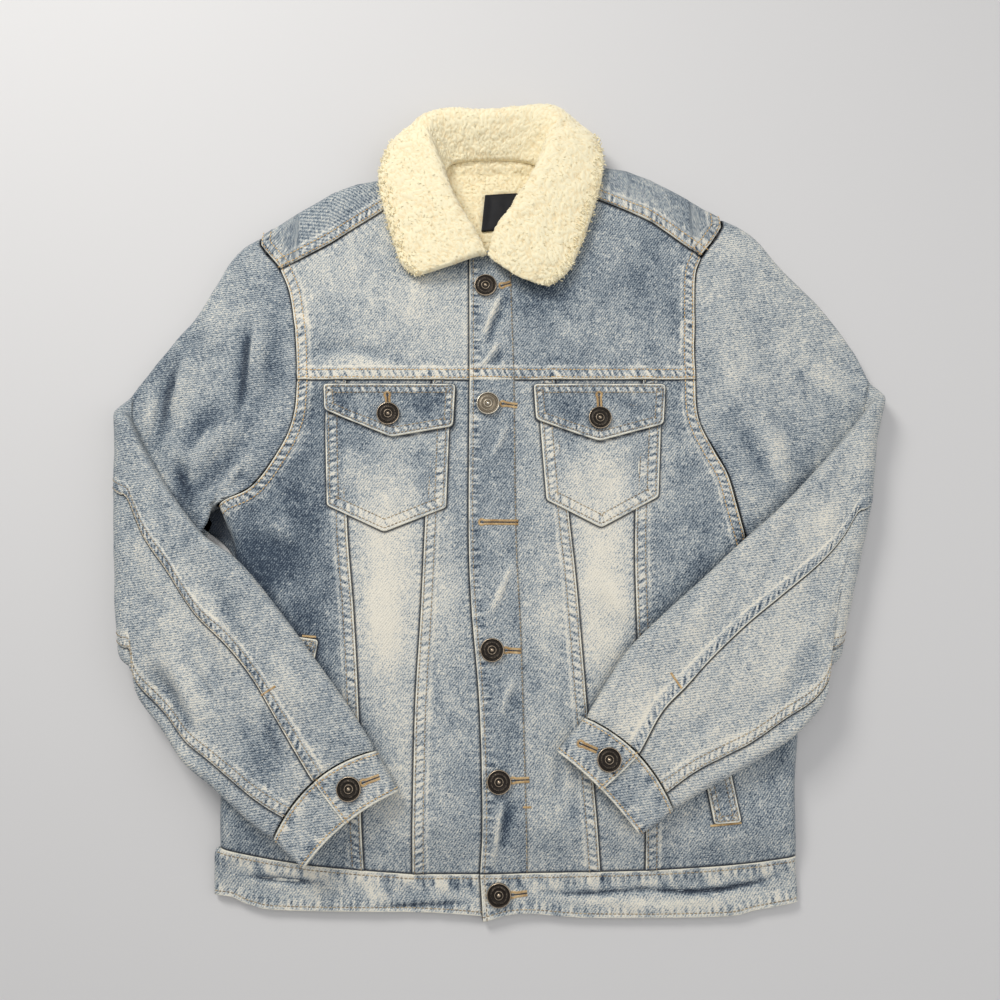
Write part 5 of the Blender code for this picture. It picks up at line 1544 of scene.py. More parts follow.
def sleeveSections(side):
    sweep = np.linspace(0, 1, 49)
    armhole = atShare(through(armholes[side], 0.004), sweep)
    curve = armhole - (armhole[0] + sweep[:, None] * (armhole[-1] - armhole[0]))
    lowCrease, highCrease = (atShare(through(line, 0.005), sweep) for line in elbows[side])
    sections = []
    for row in upperArms[side]:
        upper, lower = np.array(row.upper), np.array(row.lower)
        line = upper + sweep[:, None] * (lower - upper) + row.bow * curve
        sections.append(Section("floor", 0, line, row.thickness, row.backSeam, row.underSeam))
    first = forearms[side][0]
    for angle in np.radians(np.arange(0, 181, 20)):
        line = lowCrease + (highCrease - lowCrease) * angle / math.pi
        sections.append(Section("fold", angle, line, sleeve["foldThickness"], first.backSeam,
                                first.underSeam))
    for row in forearms[side]:
        sections.append(Section("top", 0, bowed(row, side, sweep), row.thickness, row.backSeam,
                                row.underSeam))
    return sections


def armOutline(side, sections):
    placed = [section.line for section in sections if section.kind == "floor"]
    reach = sleeve["foldRadius"] + sleeve["foldThickness"] / 2
    fold = atShare(through(elbows[side][0], 0.01), np.linspace(0, 1, 13)) + (outwardOf(side) * reach, 0)
    outline = np.vstack([[line[0] for line in placed], fold, [line[-1] for line in placed][::-1],
                         placed[0][::-2]])
    return outline if side == "left" else outline[::-1]


def support(points, arm):
    # what holds a forearm up: the body and the upper arm, with the cloth bridging their edges
    span = sleeve["drapeOut"] - sleeve["drapeFull"]
    onBody = ease((depthInside(points, bodyOutline) + sleeve["drapeOut"]) / span)
    onArm = ease((depthInside(points, arm) + sleeve["drapeOut"]) / span)
    armHeight = np.interp(np.abs(points[:, 0]), sleeve["armThins"], sleeve["armHeight"])
    return np.maximum(onBody * (body["height"] + sleeve["rest"]), onArm * (armHeight + sleeve["armGap"]))


def ringColumns(width, half, seams):
    # places round a section, for the two pieces of the sleeve: along its width, round its edge, which edge,
    # and how far from the main and the lower seam
    first = min(max(seams[0], (half + sleeve["edgeRoom"]) / width), 0.9) * width
    second = min(seams[1], 1 - (half + sleeve["edgeRoom"]) / width) * width
    up, down = math.pi / 2, -math.pi / 2
    near = np.array((0.0,) + seamRows["felled"])
    near = near * min(1.0, (first - half) / 0.018)
    far = np.linspace(near[-1], first - half, 15)[1:-1]
    top = [(first - d, up, 0) for d in np.concatenate([near, far])]
    arc = np.linspace(up, down, 13)
    top += [(half, angle, -1) for angle in arc]
    top += [(s, down, 0) for s in np.linspace(half, width - half, 24)[1:-1]]
    top += [(width - half, angle, 1) for angle in arc[::-1]]
    tail = max(width - half - second, 0.0005)
    top += [(second + d, up, 0) for d in tail * np.array((0.75, 0.5, 0.3, 0.15, 0.05, 0.0))]
    tucked = np.array((0.0,) + seamRows["tucked"])
    under = [(first + d, up, 0) for d in tucked]
    under += [(s, up, 0) for s in np.linspace(first + tucked[-1], second - tucked[-1], 30)[1:-1]]
    under += [(second - d, up, 0) for d in tucked[::-1]]
    return {"top": (np.array(top), first, second), "under": (np.array(under), first, second)}


def sectionPoints(section, ring, half, side, arm):
    width = lengthOf(section.line)
    angles, edge = ring[:, 1], ring[:, 2]
    plan = atShare(section.line, np.clip((ring[:, 0] + edge * half * np.cos(angles)) / width, 0, 1))
    height = half * np.sin(angles)
    if section.kind == "fold":
        reach = sleeve["foldRadius"] + height
        plan[:, 0] += outwardOf(side) * reach * math.sin(section.angle)
        return np.column_stack([plan, sleeve["foldHeight"] - reach * math.cos(section.angle)])
    if section.kind == "floor":
        return np.column_stack([plan, half - height])
    return np.column_stack([plan, half + height + support(plan, arm)])


def smoothRows(grids, step, ends=(0.0005, 0.0011, 0.0020)):
    # rows about a step apart on smooth curves through the given rows, closer at both ends
    padded = np.concatenate([2 * grids[:1] - grids[1:2], grids, 2 * grids[-1:] - grids[-2:-1]])
    out = []
    last = len(grids) - 2
    for k in range(len(grids) - 1):
        a, b, c, d = padded[k:k + 4]
        length = float(np.linalg.norm(c[..., :3] - b[..., :3], axis=-1).mean())
        count = max(1, round(length / step))
        shares = list(np.arange(count) / count)
        if k == 0:
            shares = [0.0] + [e / length for e in ends] + [s for s in shares if s * length > 1.5 * ends[-1]]
        if k == last:
            shares = [s for s in shares if (1 - s) * length > 1.5 * ends[-1]]
            shares += [1 - e / length for e in ends[::-1]]
        out += [bent(a, b, c, d, t) for t in shares]
    return np.array(out + [grids[-1]])


def diagonal(face, shift):
    # the grain of a sleeve lies slantwise over the body
    return np.stack([math.sqrt(0.5) * (face[..., 0] - face[..., 1]) + shift,
                     math.sqrt(0.5) * (face[..., 0] + face[..., 1])], -1)


def makeSleeve(side):
    sections = sleeveSections(side)
    arm = armOutline(side, sections)
    made = {}
    for part in ("top", "under"):
        rings, away = [], []
        for section in sections:
            half = section.thickness / 2
            columns, first, second = ringColumns(lengthOf(section.line), half,
                                                 (section.backSeam, section.underSeam))[part]
            rings.append(sectionPoints(section, columns, half, side, arm))
            kind = {"floor": 0.0, "fold": section.angle / math.pi, "top": 1.0}[section.kind]
            away.append(np.column_stack([np.abs(columns[:, 0] - first), np.abs(columns[:, 0] - second),
                                         columns[:, 0], np.sin(columns[:, 1]), np.full(len(columns), kind)]))
        grid = smoothRows(np.concatenate([np.array(rings), np.array(away)], axis=2), sleeve["rowStep"])
        face, (toMain, toLower, around, up, onTop) = grid[..., :3], np.moveaxis(grid[..., 3:], 2, 0)
        made[part] = {"face": face, "toMain": toMain, "toLower": toLower, "around": around, "up": up,
                      "onTop": onTop, "along": pathLengths(face, 0)}
    for part, data in made.items():
        face, along = data["face"], data["along"]
        rows, columns = face.shape[:2]
        plan = face[..., :2].reshape(-1, 2)
        seen = ease(np.where(data["onTop"] > 0.5, data["up"], -data["up"]) / 0.6)
        upperSeen = (data["onTop"] < 0.35) * seen
        lowerSeen = (data["onTop"] > 0.65) * seen
        upperForm, lowerForm = (sleeve["creases"][side] * creased(plan, kind[side]).reshape(rows, columns)
                                for kind in (armCreases, forearmCreases))
        flat = np.column_stack([data["around"].ravel() + 3.0, along.ravel()])
        soft = (0.0009 * noise(flat, 0.045, 41) + 0.0004 * noise(flat, 0.018, 42)).reshape(rows, columns)
        form = upperSeen * upperForm + lowerSeen * lowerForm
        relief = form + soft * seen
        onFace = ease((data["up"] - 0.5) / 0.4)
        middle = np.broadcast_to(along.mean(1, keepdims=True), along.shape)
        vent = ease((middle - middle[-1:] + 0.090) / 0.012)
        # seams lie flatter where they go round the fold
        calm = 0.1 + 0.9 * np.abs(2 * data["onTop"] - 1) ** 3
        if part == "top":
            height, ropes, worn = felledRise(data["toMain"], middle, 2.0)
            low, lowRopes, lowWorn = tuckedFall(data["toLower"], middle, 3.1)
            height = height * calm + 0.0010 * vent * hump(data["toMain"], 0.006)
            ropes = ropes - 0.55 * hump(data["toMain"] - 0.0050, 0.0042)
            worn = worn + 0.5 * hump(data["toMain"] - 0.0006, 0.0011)
        else:
            height, ropes, worn = tuckedFall(data["toMain"], middle, 2.0)
            low, lowRopes, lowWorn = felledRise(data["toLower"], middle, 3.1)
            low, lowWorn = 0.6 * low * calm, 0.75 * lowWorn
        calmer = 0.25 + 0.75 * calm
        relief = relief + onFace * (height + low)
        ropes = calmer * onFace * (ropes + lowRopes)
        worn = np.clip(calmer * onFace * (worn + lowWorn), -1, 1.1)
        # painted shade in the troughs of the creases
        worn = worn - 0.60 * np.clip(-form / 0.0045 - 0.45, 0, 1) * seen
        starting = along - along[:1]
        relief = relief - 0.0006 * hump(starting, 0.0014) + 0.0004 * hump(starting - 0.005, 0.004) * rope(
            data["around"], 5.0)
        # a dark line of painted shade where the upper arm goes under the armhole seam
        worn = np.clip(worn - 1.1 * hump(starting, 0.0013) * (data["onTop"] < 0.3), -1, 1.2)
        ending = along[-1:] - along
        relief = relief - 0.0012 * hump(ending, 0.0020) + 0.0007 * hump(ending - 0.007, 0.007) * rope(
            data["around"], 7.0)
        # paler on the creases' crests and darker in their troughs, as painted light
        level = sleeve["fade"][side] + 0.07 * data["onTop"] + 0.14 * np.clip(form / 0.002, -2.0, 0.7)
        for patches, share in ((armFadesAndPaintedShade, data["onTop"] < 0.5), (forearmFades, data["onTop"] >= 0.5)):
            level = level + patchLevel(plan, patches).reshape(rows, columns) * share
        level = level + (0.05 * noise(flat, 0.05, 45) + 0.04 * noise(flat, 0.019, 46)).reshape(rows, columns)
        # painted shadow of the forearm on the upper arm beside it
        level = level - 0.16 * upperSeen * besideForearms(plan, 0.013).reshape(rows, columns)
        worn = worn - 0.45 * upperSeen * besideForearms(plan, 0.005).reshape(rows, columns)
        uv = diagonal(face, 8.0 if side == "left" else 9.5)
        centre = made["top"]["face"][rows // 2].mean(0)
        piece = shell(f"{part}Sleeve{side.capitalize()}", face, sleeve["wall"], sleeveCloth,
                      lambda p: np.array(p) - centre, uv, {"fade": level, "edge": worn, "rope": ropes},
                      relief=relief)
        finished(piece, "denim", f"{part}_sleeve_{side}")
        data["relief"] = relief
    return made, arm


sleeves = {side: makeSleeve(side) for side in ("left", "right")}
print("stage: sleeves")

# ---- the cuffs

cuff = {"wall": 0.0026, "lap": 0.026, "gap": 0.0004, "row": 0.0032}
CuffRow = namedtuple("CuffRow", "upper lower bow thickness")
cuffRows = {
    "left": (
        CuffRow((-0.1057, -0.2309), (-0.1907, -0.3040), 0.014, 0.0145),
        CuffRow((-0.0960, -0.2475), (-0.1790, -0.3160), 0.011, 0.0155),
        CuffRow((-0.0855, -0.2640), (-0.1650, -0.3280), 0.007, 0.0170),
    ),
    "right": (
        CuffRow((0.0732, -0.2038), (0.1467, -0.2809), 0.011, 0.0145),
        CuffRow((0.0610, -0.2175), (0.1330, -0.2915), 0.008, 0.0155),
        CuffRow((0.0485, -0.2315), (0.1175, -0.3005), 0.004, 0.0170),
    ),
}


def makeCuff(side, arm):
    # a band wound round the wrist, its buttonhole end over its button end
    grids = []
    for row in cuffRows[side]:
        line = bowed(row, side, np.linspace(0, 1, 25))
        width = lengthOf(line)
        high = row.thickness / 2
        low = high - (cuff["wall"] + cuff["gap"]) / 2
        middle = width / 2
        start = middle - cuff["lap"]
        path = [(start + d, 2 * low) for d in (0.0, 0.0005, 0.0011, 0.0020, 0.0032)]
        path += [(s, 2 * low) for s in np.linspace(start + 0.0032, width - low, 18)[1:-1]]
        for angle in np.radians(np.arange(90, -91, -15)):
            path.append((width - low + low * math.cos(angle), low + low * math.sin(angle)))
        path += [(s, 0.0) for s in np.linspace(width - low, high, 22)[1:-1]]
        for angle in np.radians(np.arange(-90, 91, 15)):
            path.append((high - high * math.cos(angle), high + high * math.sin(angle)))
        path += [(s, 2 * high) for s in np.linspace(high, middle - 0.0032, 22)[1:]]
        path += [(middle - d, 2 * high) for d in (0.0020, 0.0011, 0.0005, 0.0)]
        path = np.array(path)
        plan = atShare(line, np.clip(path[:, 0] / width, 0, 1))
        grids.append(np.column_stack([plan, path[:, 1] + support(plan, arm)]))
    face = smoothRows(np.array(grids), 0.0024)
    down, right = pathLengths(face, 0), pathLengths(face, 1)
    away = fromBorder(down, right)
    along = np.where(np.minimum(down, down[-1:] - down) < np.minimum(right, right[:, -1:] - right),
                     right, down)
    flat = np.column_stack([right.ravel(), down.ravel()])
    rows, columns = face.shape[:2]
    pull = rope(along, 4.0 if side == "left" else 6.0)
    relief = (-0.00025 * hump(away - cuff["row"], 0.0009) + 0.00035 * pull * hump(away - 0.005, 0.004)
              + 0.0006 * noise(flat, 0.016, 51).reshape(rows, columns))
    level = 0.54 + (0.10 * noise(flat, 0.014, 52)).reshape(rows, columns)
    marks = {"fade": level, "edge": 1.1 * hump(away, 0.0013), "rope": 0.8 * pull * hump(away - 0.006, 0.004)}
    uv = diagonal(face, 11.0 if side == "left" else 12.0)
    piece = shell(f"cuff{side.capitalize()}", face, cuff["wall"], cloth, lambda p: np.array((0, 0, -1.0)), uv,
                  marks, relief=relief)
    finished(piece, "denim", f"cuff_{side}")
    return face, relief


cuffs = {side: makeCuff(side, sleeves[side][1]) for side in ("left", "right")}
print("stage: cuffs")

# ---- the collar

# from the left front round the back to the right front: the neck seam, the top of the roll, the outermost
# part of the fall and its edge, along the middle of its thickness
collarRows = [grouped(row, 3) for row in (
    (-12.5, 219, 30, -23.5, 215, 34.5, -48, 206, 34.5, -77, 198, 30),
    (-22.5, 235, 26.5, -31, 239, 37, -62, 223, 35, -91, 208, 29),
    (-36.5, 255, 15.8, -45.5, 267, 39, -74, 250, 36, -100.5, 233, 28.5),
    (-47.5, 277, 15.6, -56, 292, 40, -83, 279, 37, -109.5, 264, 28.5),
    (-53, 296, 15.6, -63, 313, 40, -90, 303, 37, -115.5, 294, 28.5),
    (-53.5, 307.5, 15.6, -69, 333, 39, -94, 327, 35.5, -111, 319, 25),
    (-48, 317, 15.6, -68, 348, 36, -90, 344, 27, -97, 339, 13),
    (-35, 321, 15.2, -50, 356, 33.5, -61, 365.5, 20, -58, 345, 4.4),
    (-8, 322, 15.2, -7, 357, 33, -7, 365.5, 19, -7, 342, 4.4),
    (19, 321, 15.2, 37, 360, 33.5, 50, 370.4, 20, 47, 348, 4.4),
    (33, 317, 15.6, 53, 351, 36, 76, 348, 27, 83, 344, 13),
    (39.5, 307, 15.6, 50, 337, 39, 78, 335, 35, 97.5, 327, 25),
    (38.5, 295, 15.6, 43, 315, 40, 71, 306, 37, 97, 297, 28.5),
    (31, 275, 15.6, 33, 292, 40, 62, 277, 37, 88.5, 265, 29),
    (17.5, 254, 15.8, 17, 266, 39, 46, 245, 36, 77, 231, 29.5),
    (1.5, 236, 26.5, 0, 239, 37, 30, 219, 36, 64, 203, 30),
    (-10, 219, 30, -3, 209.5, 35, 18, 195, 35.5, 45, 187.5, 31),
)]
pile = {
    "half": 0.0045,  # half the thickness of the collar
    "thinning": 0.6,  # how much of it goes at the edge of the fall
    "step": 0.0013,
    "clump": 0.0046,  # across one clump of curls
    "height": 0.0015,  # of a clump above its creases
    "waves": 0.0011,  # of the slower lumps
    "curlSpacing": 0.0027,
    "curlWidth": 0.0024,
    "curlThickness": 0.00070,
    "fringe": 1.6,  # how much larger and denser the curls of the edge are
    "curled": (215, 0),  # how far round a curl goes and how far it stands up, in degrees
    "upright": (100, 90),  # the same for the edge
    "tilt": 0.5,
    "sunk": 0.0002,
}


def pileLumps(flat, seed=0):
    # clumps of curls parted by thin uneven creases, from 0 to 1, and the slow lumps under them
    bent = flat + 0.0011 * np.column_stack([noise(flat, 0.0052, 61 + seed), noise(flat, 0.0049, 62 + seed)])
    parted = np.abs(noise(bent, pile["clump"], 63 + seed))
    finer = np.abs(noise(bent, 0.55 * pile["clump"], 64 + seed))
    clumps = np.minimum(3.4 * parted, 1) * (0.66 + 0.34 * np.minimum(2.8 * finer, 1))
    return clumps, noise(flat, 0.013, 65 + seed)


def makeCollar():
    rows = round(0.52 / pile["step"])
    table = [atShare(through(line, 0.003), np.linspace(0, 1, rows)) for line in zip(*collarRows)]
    shares = np.linspace(0, 1, 74)
    paths, normals = [], []
    for neck, roll, side, edge in zip(*table):
        path = atShare(through((neck, roll, side, edge), 0.001), shares)
        tangent = np.gradient(path, axis=0)
        tangent /= np.linalg.norm(tangent, axis=1)[:, None]
        across = np.cross(edge - neck, roll - neck)
        paths.append(path)
        normals.append(np.cross(tangent, across / np.linalg.norm(across)))
    paths = np.array(paths)
    normals = facing(np.array(normals), (rows // 5, 2 * len(shares) // 3), (0, 0, 1))  # up, on the left wing
    around, down = pathLengths(paths, 0), pathLengths(paths, 1)
    flat = np.column_stack([around.mean(1)[:, None].repeat(len(shares), 1).ravel(), down.ravel()])
    clumps, slow = (v.reshape(around.shape) for v in pileLumps(flat))
    thick = pile["half"] * np.sqrt(1 - pile["thinning"] * shares**10)
    proud = borderRounding(paths, pile["half"])
    relief = (pile["height"] * (clumps - 0.75) + pile["waves"] * slow) * np.minimum(1, 0.35 + proud)
    outer = paths + normals * (thick * proud + relief)[..., None]
    inner = paths - normals * (thick * proud)[..., None]
    for grid in (outer, inner):
        grid[..., 2] = np.maximum(grid[..., 2], 0.0004)
    # the tip mark is low in the creases between clumps, where the colour is painted shade
    piece = closedWall("sherpaCollar", outer, inner, fleece, np.stack([around, down], -1),
                       {"tip": 0.10 + 0.90 * clumps})
    finished(piece, "sherpa", "collar")
    return piece, outer, surfaceNormals(outer), clumps, around, down


def newTree(name, *inputs):
    # an empty tree of geometry nodes, its named inputs and its output
    tree = bpy.data.node_groups.new(name, "GeometryNodeTree")
    tree.is_modifier = True
    kinds = {"Geometry": "Geometry", "Seed": "Int", "Material": "Material"}
    for label in ("Geometry", *inputs, "Seed", "Material"):
        tree.interface.new_socket(label, in_out="INPUT", socket_type="NodeSocket" + kinds.get(label, "Float"))
    tree.interface.new_socket("Geometry", in_out="OUTPUT", socket_type="NodeSocketGeometry")
    return tree, tree.nodes.new("NodeGroupInput").outputs, tree.nodes.new("NodeGroupOutput").inputs[0]


def joined(tree, kind, sockets, **settings):
    # the outputs of a new node, with its inputs fed by name or number
    node = tree.nodes.new(kind)
    for key, value in settings.items():
        setattr(node, key, value)
    for label, value in sockets.items():
        feed(tree, node.inputs[label], value)
    return node.outputs


def strewn(tree, given, points, thing, turn, smooth, **more):
    # things on points as real geometry with the given material
    many = joined(tree, "GeometryNodeInstanceOnPoints",
                  {"Points": points, "Instance": thing, "Rotation": turn, **more})
    real = joined(tree, "GeometryNodeRealizeInstances", {0: many[0]})[0]
    if smooth:
        real = joined(tree, "GeometryNodeSetShadeSmooth", {"Geometry": real})[0]
    return joined(tree, "GeometryNodeSetMaterial", {"Geometry": real, "Material": given["Material"]})[0]


def spun(tree, turn, angles):
    # a rotation turned further by angles of its own
    further = joined(tree, "FunctionNodeEulerToRotation", {0: angles})[0]
    return joined(tree, "FunctionNodeRotateRotation", {0: turn, 1: further}, rotation_space="LOCAL")[0]


def curlTree(sweep, stand):
    # curls of pile scattered over a surface; a standing one grows out of it
    tree, given, out = newTree("pileCurls", "Spacing", "Width", "Thickness")
    curly = joined(tree, "GeometryNodeInputNamedAttribute", {"Name": "curly"}, data_type="FLOAT")
    scatter = joined(tree, "GeometryNodeDistributePointsOnFaces",
                     {"Mesh": given["Geometry"], "Distance Min": given["Spacing"], "Density Max": 400000,
                      "Density Factor": curly["Attribute"], "Seed": given["Seed"]},
                     distribute_method="POISSON")
    arc = joined(tree, "GeometryNodeCurveArc",
                 {"Resolution": 5, "Radius": 0.5, "Sweep Angle": math.radians(sweep),
                  "Start Angle": math.radians(-sweep / 2)})
    spread = joined(tree, "ShaderNodeCombineXYZ", {k: given["Width"] for k in range(3)})
    curl = joined(tree, "GeometryNodeTransform", {"Geometry": arc["Curve"], "Scale": spread[0],
                                                  "Rotation": (math.radians(stand), 0, 0)})
    ring = joined(tree, "GeometryNodeCurvePrimitiveCircle",
                  {"Resolution": 4, "Radius": sums(tree, "MULTIPLY", given["Thickness"], 0.5)})
    taper = tree.nodes.new("ShaderNodeFloatCurve")
    points = taper.mapping.curves[0].points
    points[0].location, points[1].location = (0.0, 0.28), (1.0, 0.12)
    points.new(0.45, 1.0)
    feed(tree, taper.inputs["Value"], joined(tree, "GeometryNodeSplineParameter", {})["Factor"])
    tube = joined(tree, "GeometryNodeCurveToMesh", {"Curve": curl["Geometry"], "Profile Curve": ring["Curve"],
                                                    "Scale": taper.outputs["Value"], "Fill Caps": True})
    tilt = pile["tilt"]
    turn = joined(tree, "FunctionNodeRandomValue",
                  {"Min": (-tilt, -tilt, 0), "Max": (tilt, tilt, 2 * math.pi), "Seed": given["Seed"]},
                  data_type="FLOAT_VECTOR")
    size = joined(tree, "FunctionNodeRandomValue", {2: 0.7, 3: 1.25, "Seed": given["Seed"]})
    feed(tree, out, strewn(tree, given, scatter["Points"], tube["Mesh"],
                           spun(tree, scatter["Rotation"], turn["Value"]), False, Scale=size[1]))
    return tree


def grown(name, guide, tree, material, **values):
    # a plain mesh from a tree of nodes run on a guide, which then goes
    modifier = guide.modifiers.new("grown", "NODES")
    modifier.node_group = tree
    values["Material"] = material
    for item in tree.interface.items_tree:
        if item.item_type == "SOCKET" and item.in_out == "INPUT" and item.name in values:
            modifier[item.identifier] = values[item.name]
    bpy.context.view_layer.update()
    mesh = bpy.data.meshes.new_from_object(guide.evaluated_get(bpy.context.evaluated_depsgraph_get()))
    bpy.data.objects.remove(guide, do_unlink=True)
    mesh.name = name
    return placed(name, mesh)


def makeCurls(name, points, faces, seed, material, amount=None, grow=1.0, shape=pile["curled"]):
    guide = addObject(name + "Guide", points, faces, material, None,
                      {"curly": np.ones(len(points)) if amount is None else amount})
    piece = grown(name, guide, curlTree(*shape), material, Spacing=pile["curlSpacing"] / grow,
                  Width=pile["curlWidth"] * grow ** 2, Thickness=pile["curlThickness"] * grow, Seed=seed)
    count = len(piece.data.vertices)
    each = 20  # points of one curl
    tips = 0.84 + 0.22 * np.random.default_rng(seed).random(count // each + 1).repeat(each)[:count]
    markPoints(piece.data, "tip", tips)
    return finished(piece, "sherpa")


collar, collarFace, collarNormals, collarClumps, collarAround, collarDown = makeCollar()


def makeCollarCurls():
    # over the visible side, and longer ones along the free edge; the guides' faces are turned outwards
    base = collarFace - pile["sunk"] * collarNormals
    part, clumps = base[::2, 1:-1:2], collarClumps[::2, 1:-1:2]
    points, faces = part.reshape(-1, 3), gridFaces(*part.shape[:2])
    a, b, c = (points[faces[len(faces) // 3, k]] for k in range(3))
    way = -1 if np.cross(b - a, c - a)[2] < 0 else 1
    edge = base[::2, -9:]
    return [makeCurls("collarCurls", points, faces[:, ::way], 5, fleece, ease(clumps.ravel() / 0.9) ** 2),
            makeCurls("collarFringe", edge.reshape(-1, 3), gridFaces(*edge.shape[:2])[:, ::way], 6, fleece,
                      None, pile["fringe"], pile["upright"])]


collarCurls = makeCollarCurls()
print("stage: collar", len(collar.data.polygons), [len(piece.data.polygons) for piece in collarCurls])

# ---- the linings and the label at the neck

lining = {
    "low": 0.0028, "drop": 0.0036, "fall": 0.12, "share": 0.5,
    "insets": (0.0035, 0.0135, 0.0165),  # inside the seams, the sides and the hem
    "neckInset": -0.0050,
    "neckRise": 0.0042,  # of the pile where the collar is sewn on behind
    "fine": 0.0013,
}
neckLining = lining["low"] + lining["share"] * (body["height"] - lining["drop"] - lining["low"])
neckLabel = ((-0.0180, 0.2510), (0.0060, 0.2535), (0.0215, 0.2790), (0.0245, 0.2915), (-0.0145, 0.2890))
neckArea = np.array(((-0.062, 0.306), (-0.056, 0.275), (-0.032, 0.236), (-0.011, 0.222), (0.012, 0.236),
                     (0.042, 0.275), (0.047, 0.306), (0.036, 0.324), (-0.008, 0.328), (-0.048, 0.324)))


def liningHeight(points, share):
    height = bodyHeight(points[:, 1])
    top = height - lining["drop"] - lining["fall"] * (body["height"] - height)
    return lining["low"] + share * (top - lining["low"])


def neckPile(points):
    # the pile that shows in the neck, pressed flat under the label
    clumps, slow = pileLumps(points, 7)
    shown = ease(depthInside(points, neckArea) / 0.006 + 1)
    pressed = ease((depthInside(points, np.array(neckLabel)) + 0.004) / 0.004)
    raised = (pile["height"] * (clumps - 0.55) + 0.0008 * slow) * shown
    raised += lining["neckRise"] * ease((points[:, 1] - 0.308) / 0.010) * hump(points[:, 0] + 0.007, 0.060)
    return raised * (1 - pressed) - 0.0010 * pressed, clumps


def makeLinings():
    left, right = leftSide + hemSeams[:3], hemSeams[4:] + rightSide
    shapes = (
        ("liningBack", "lining_back", np.vstack([outlineOf(left + ("hemPlacket",) + right),
                                                 [lines["shoulderRight"][0]], backNeck]), 0, lining["share"]),
        ("liningFrontLeft", "lining_front_left", outlineOf(left + ("-edgeLow", "-edgeHigh", "-neckLeft")),
         lining["share"], 1),
        ("liningFrontRight", "lining_front_right",
         outlineOf(("edgeHigh", "edgeLow", "hemPlacket") + right + ("-neckRight", "-neckCentre")),
         lining["share"], 1),
    )
    made = []
    for name, node, edge, low, high in shapes:
        edge = edge[::3]
        seam, side, hem = lining["insets"]
        inset = np.where(fromSides(edge) < 0.02, side, np.where(edge[:, 1] < body["hemFall"][0], hem, seam))
        inset = np.where(edge[:, 1] > backNeck[0, 1] - 0.001, lining["neckInset"], inset)
        outline = shrink(edge, inset[:, None])
        outline = outline[np.linalg.norm(np.roll(outline, -1, axis=0) - outline, axis=1) > 0.0015]
        seeds = hexGrid(outline, 0.012)
        if low == 0:
            fine = hexGrid(neckArea, lining["fine"])
            seeds = np.vstack([seeds[~inside(seeds, neckArea)], fine[depthInside(fine, neckArea) > -0.004]])
        seeds = spaced(seeds[inside(seeds, outline)], 0.0007)

        # the tip mark is low between the clumps of the pile in the neck, where the colour is painted shade
        piece = plate(name, outline, seeds,
                      lambda p: liningHeight(p, high) + (neckPile(p)[0] if low == 0 else 0),
                      lambda p: liningHeight(p, low) + (0.0003 if low else 0), shadedInnerFleece,
                      lambda p: {"tip": 0.2 + 0.7 * neckPile(p)[1]}, 0.02)
        finished(piece, "sherpa", node)
        made.append((piece, outline))
    return made


def makeNeckCurls():
    # the same curls on the pile in the neck, but for where the label lies
    grid = hexGrid(neckArea, 0.0026)
    grid = grid[depthInside(grid, neckArea) > 0.0005]
    plan, triangles = planMesh(neckArea, grid)
    raised = neckPile(plan)[0]
    points = np.column_stack([plan, liningHeight(plan, lining["share"]) + raised])
    clear = (depthInside(plan, np.array(neckLabel)) < -0.0005).astype(float)
    return makeCurls("neckCurls", points, triangles, 9, shadedInnerFleece, clear)


linings = makeLinings()
neckCurls = makeNeckCurls()
for number, (piece, outline) in enumerate(linings):
    layFlat(piece, outline)


def makeLabel():
    # bare woven satin, a little cockled, its ends turned under
    outline = cornered(neckLabel, 0.0008, 0.0012)
    edges = [shrink(outline, away) for away in (0.0003, 0.0007, 0.0012)]
    seeds = spaced(np.vstack([hexGrid(outline, 0.0018)] + edges), 0.0005)

    def top(points):
        away = nearest(points, closed(outline))[0]
        turned = np.sqrt(np.clip(away / 0.0006, 0, 1))
        ends = 0.00025 * (1 - ease((away - 0.004) / 0.0008))
        return neckLining + 0.0012 + 0.0004 * noise(points, 0.011, 71) + ends + 0.0006 * (turned - 1)

    piece = plate("neckLabel", outline, seeds[inside(seeds, outline)], top, lambda p: top(p) - 0.0007, satin,
                  None, 0.004)
    finished(piece, "label", "neck_label")
    areaOf(outline)
    return outline, top


labelOutline, labelTop = makeLabel()
print("stage: linings and label")

# ---- the buttons

button = {
    "sides": 72,
    "notches": 36,  # round its ring
    # radius, height, how far the patina has rubbed off, and how deep the notches are
    "profile": ((0.0042, 0.0000, 0.0, 0), (0.0043, 0.0012, 0.0, 0), (0.0099, 0.0017, 0.0, 0),
                (0.0104, 0.0022, 0.3, 0), (0.0105, 0.0030, 0.5, 0), (0.0104, 0.0038, 0.8, 0),
                (0.0100, 0.0042, 0.9, 0), (0.0096, 0.0041, 0.4, 0), (0.0092, 0.0035, 0.0, 0),
                (0.0086, 0.0031, 0.0, 0), (0.0079, 0.0032, 0.0, 0), (0.0073, 0.0036, 0.35, 1),
                (0.0064, 0.0038, 0.35, 1), (0.0055, 0.0036, 0.1, 1), (0.0049, 0.0033, 0.0, 0),
                (0.0044, 0.0033, 0.0, 0), (0.0039, 0.0038, 0.4, 0), (0.0035, 0.0041, 0.7, 0),
                (0.0031, 0.0038, 0.2, 0), (0.0026, 0.0034, 0.0, 0), (0.0018, 0.0037, 0.2, 0),
                (0.0012, 0.0045, 1.0, 0), (0.0005, 0.0049, 1.0, 0)),
}
Button = namedtuple("Button", "node x y carrier")
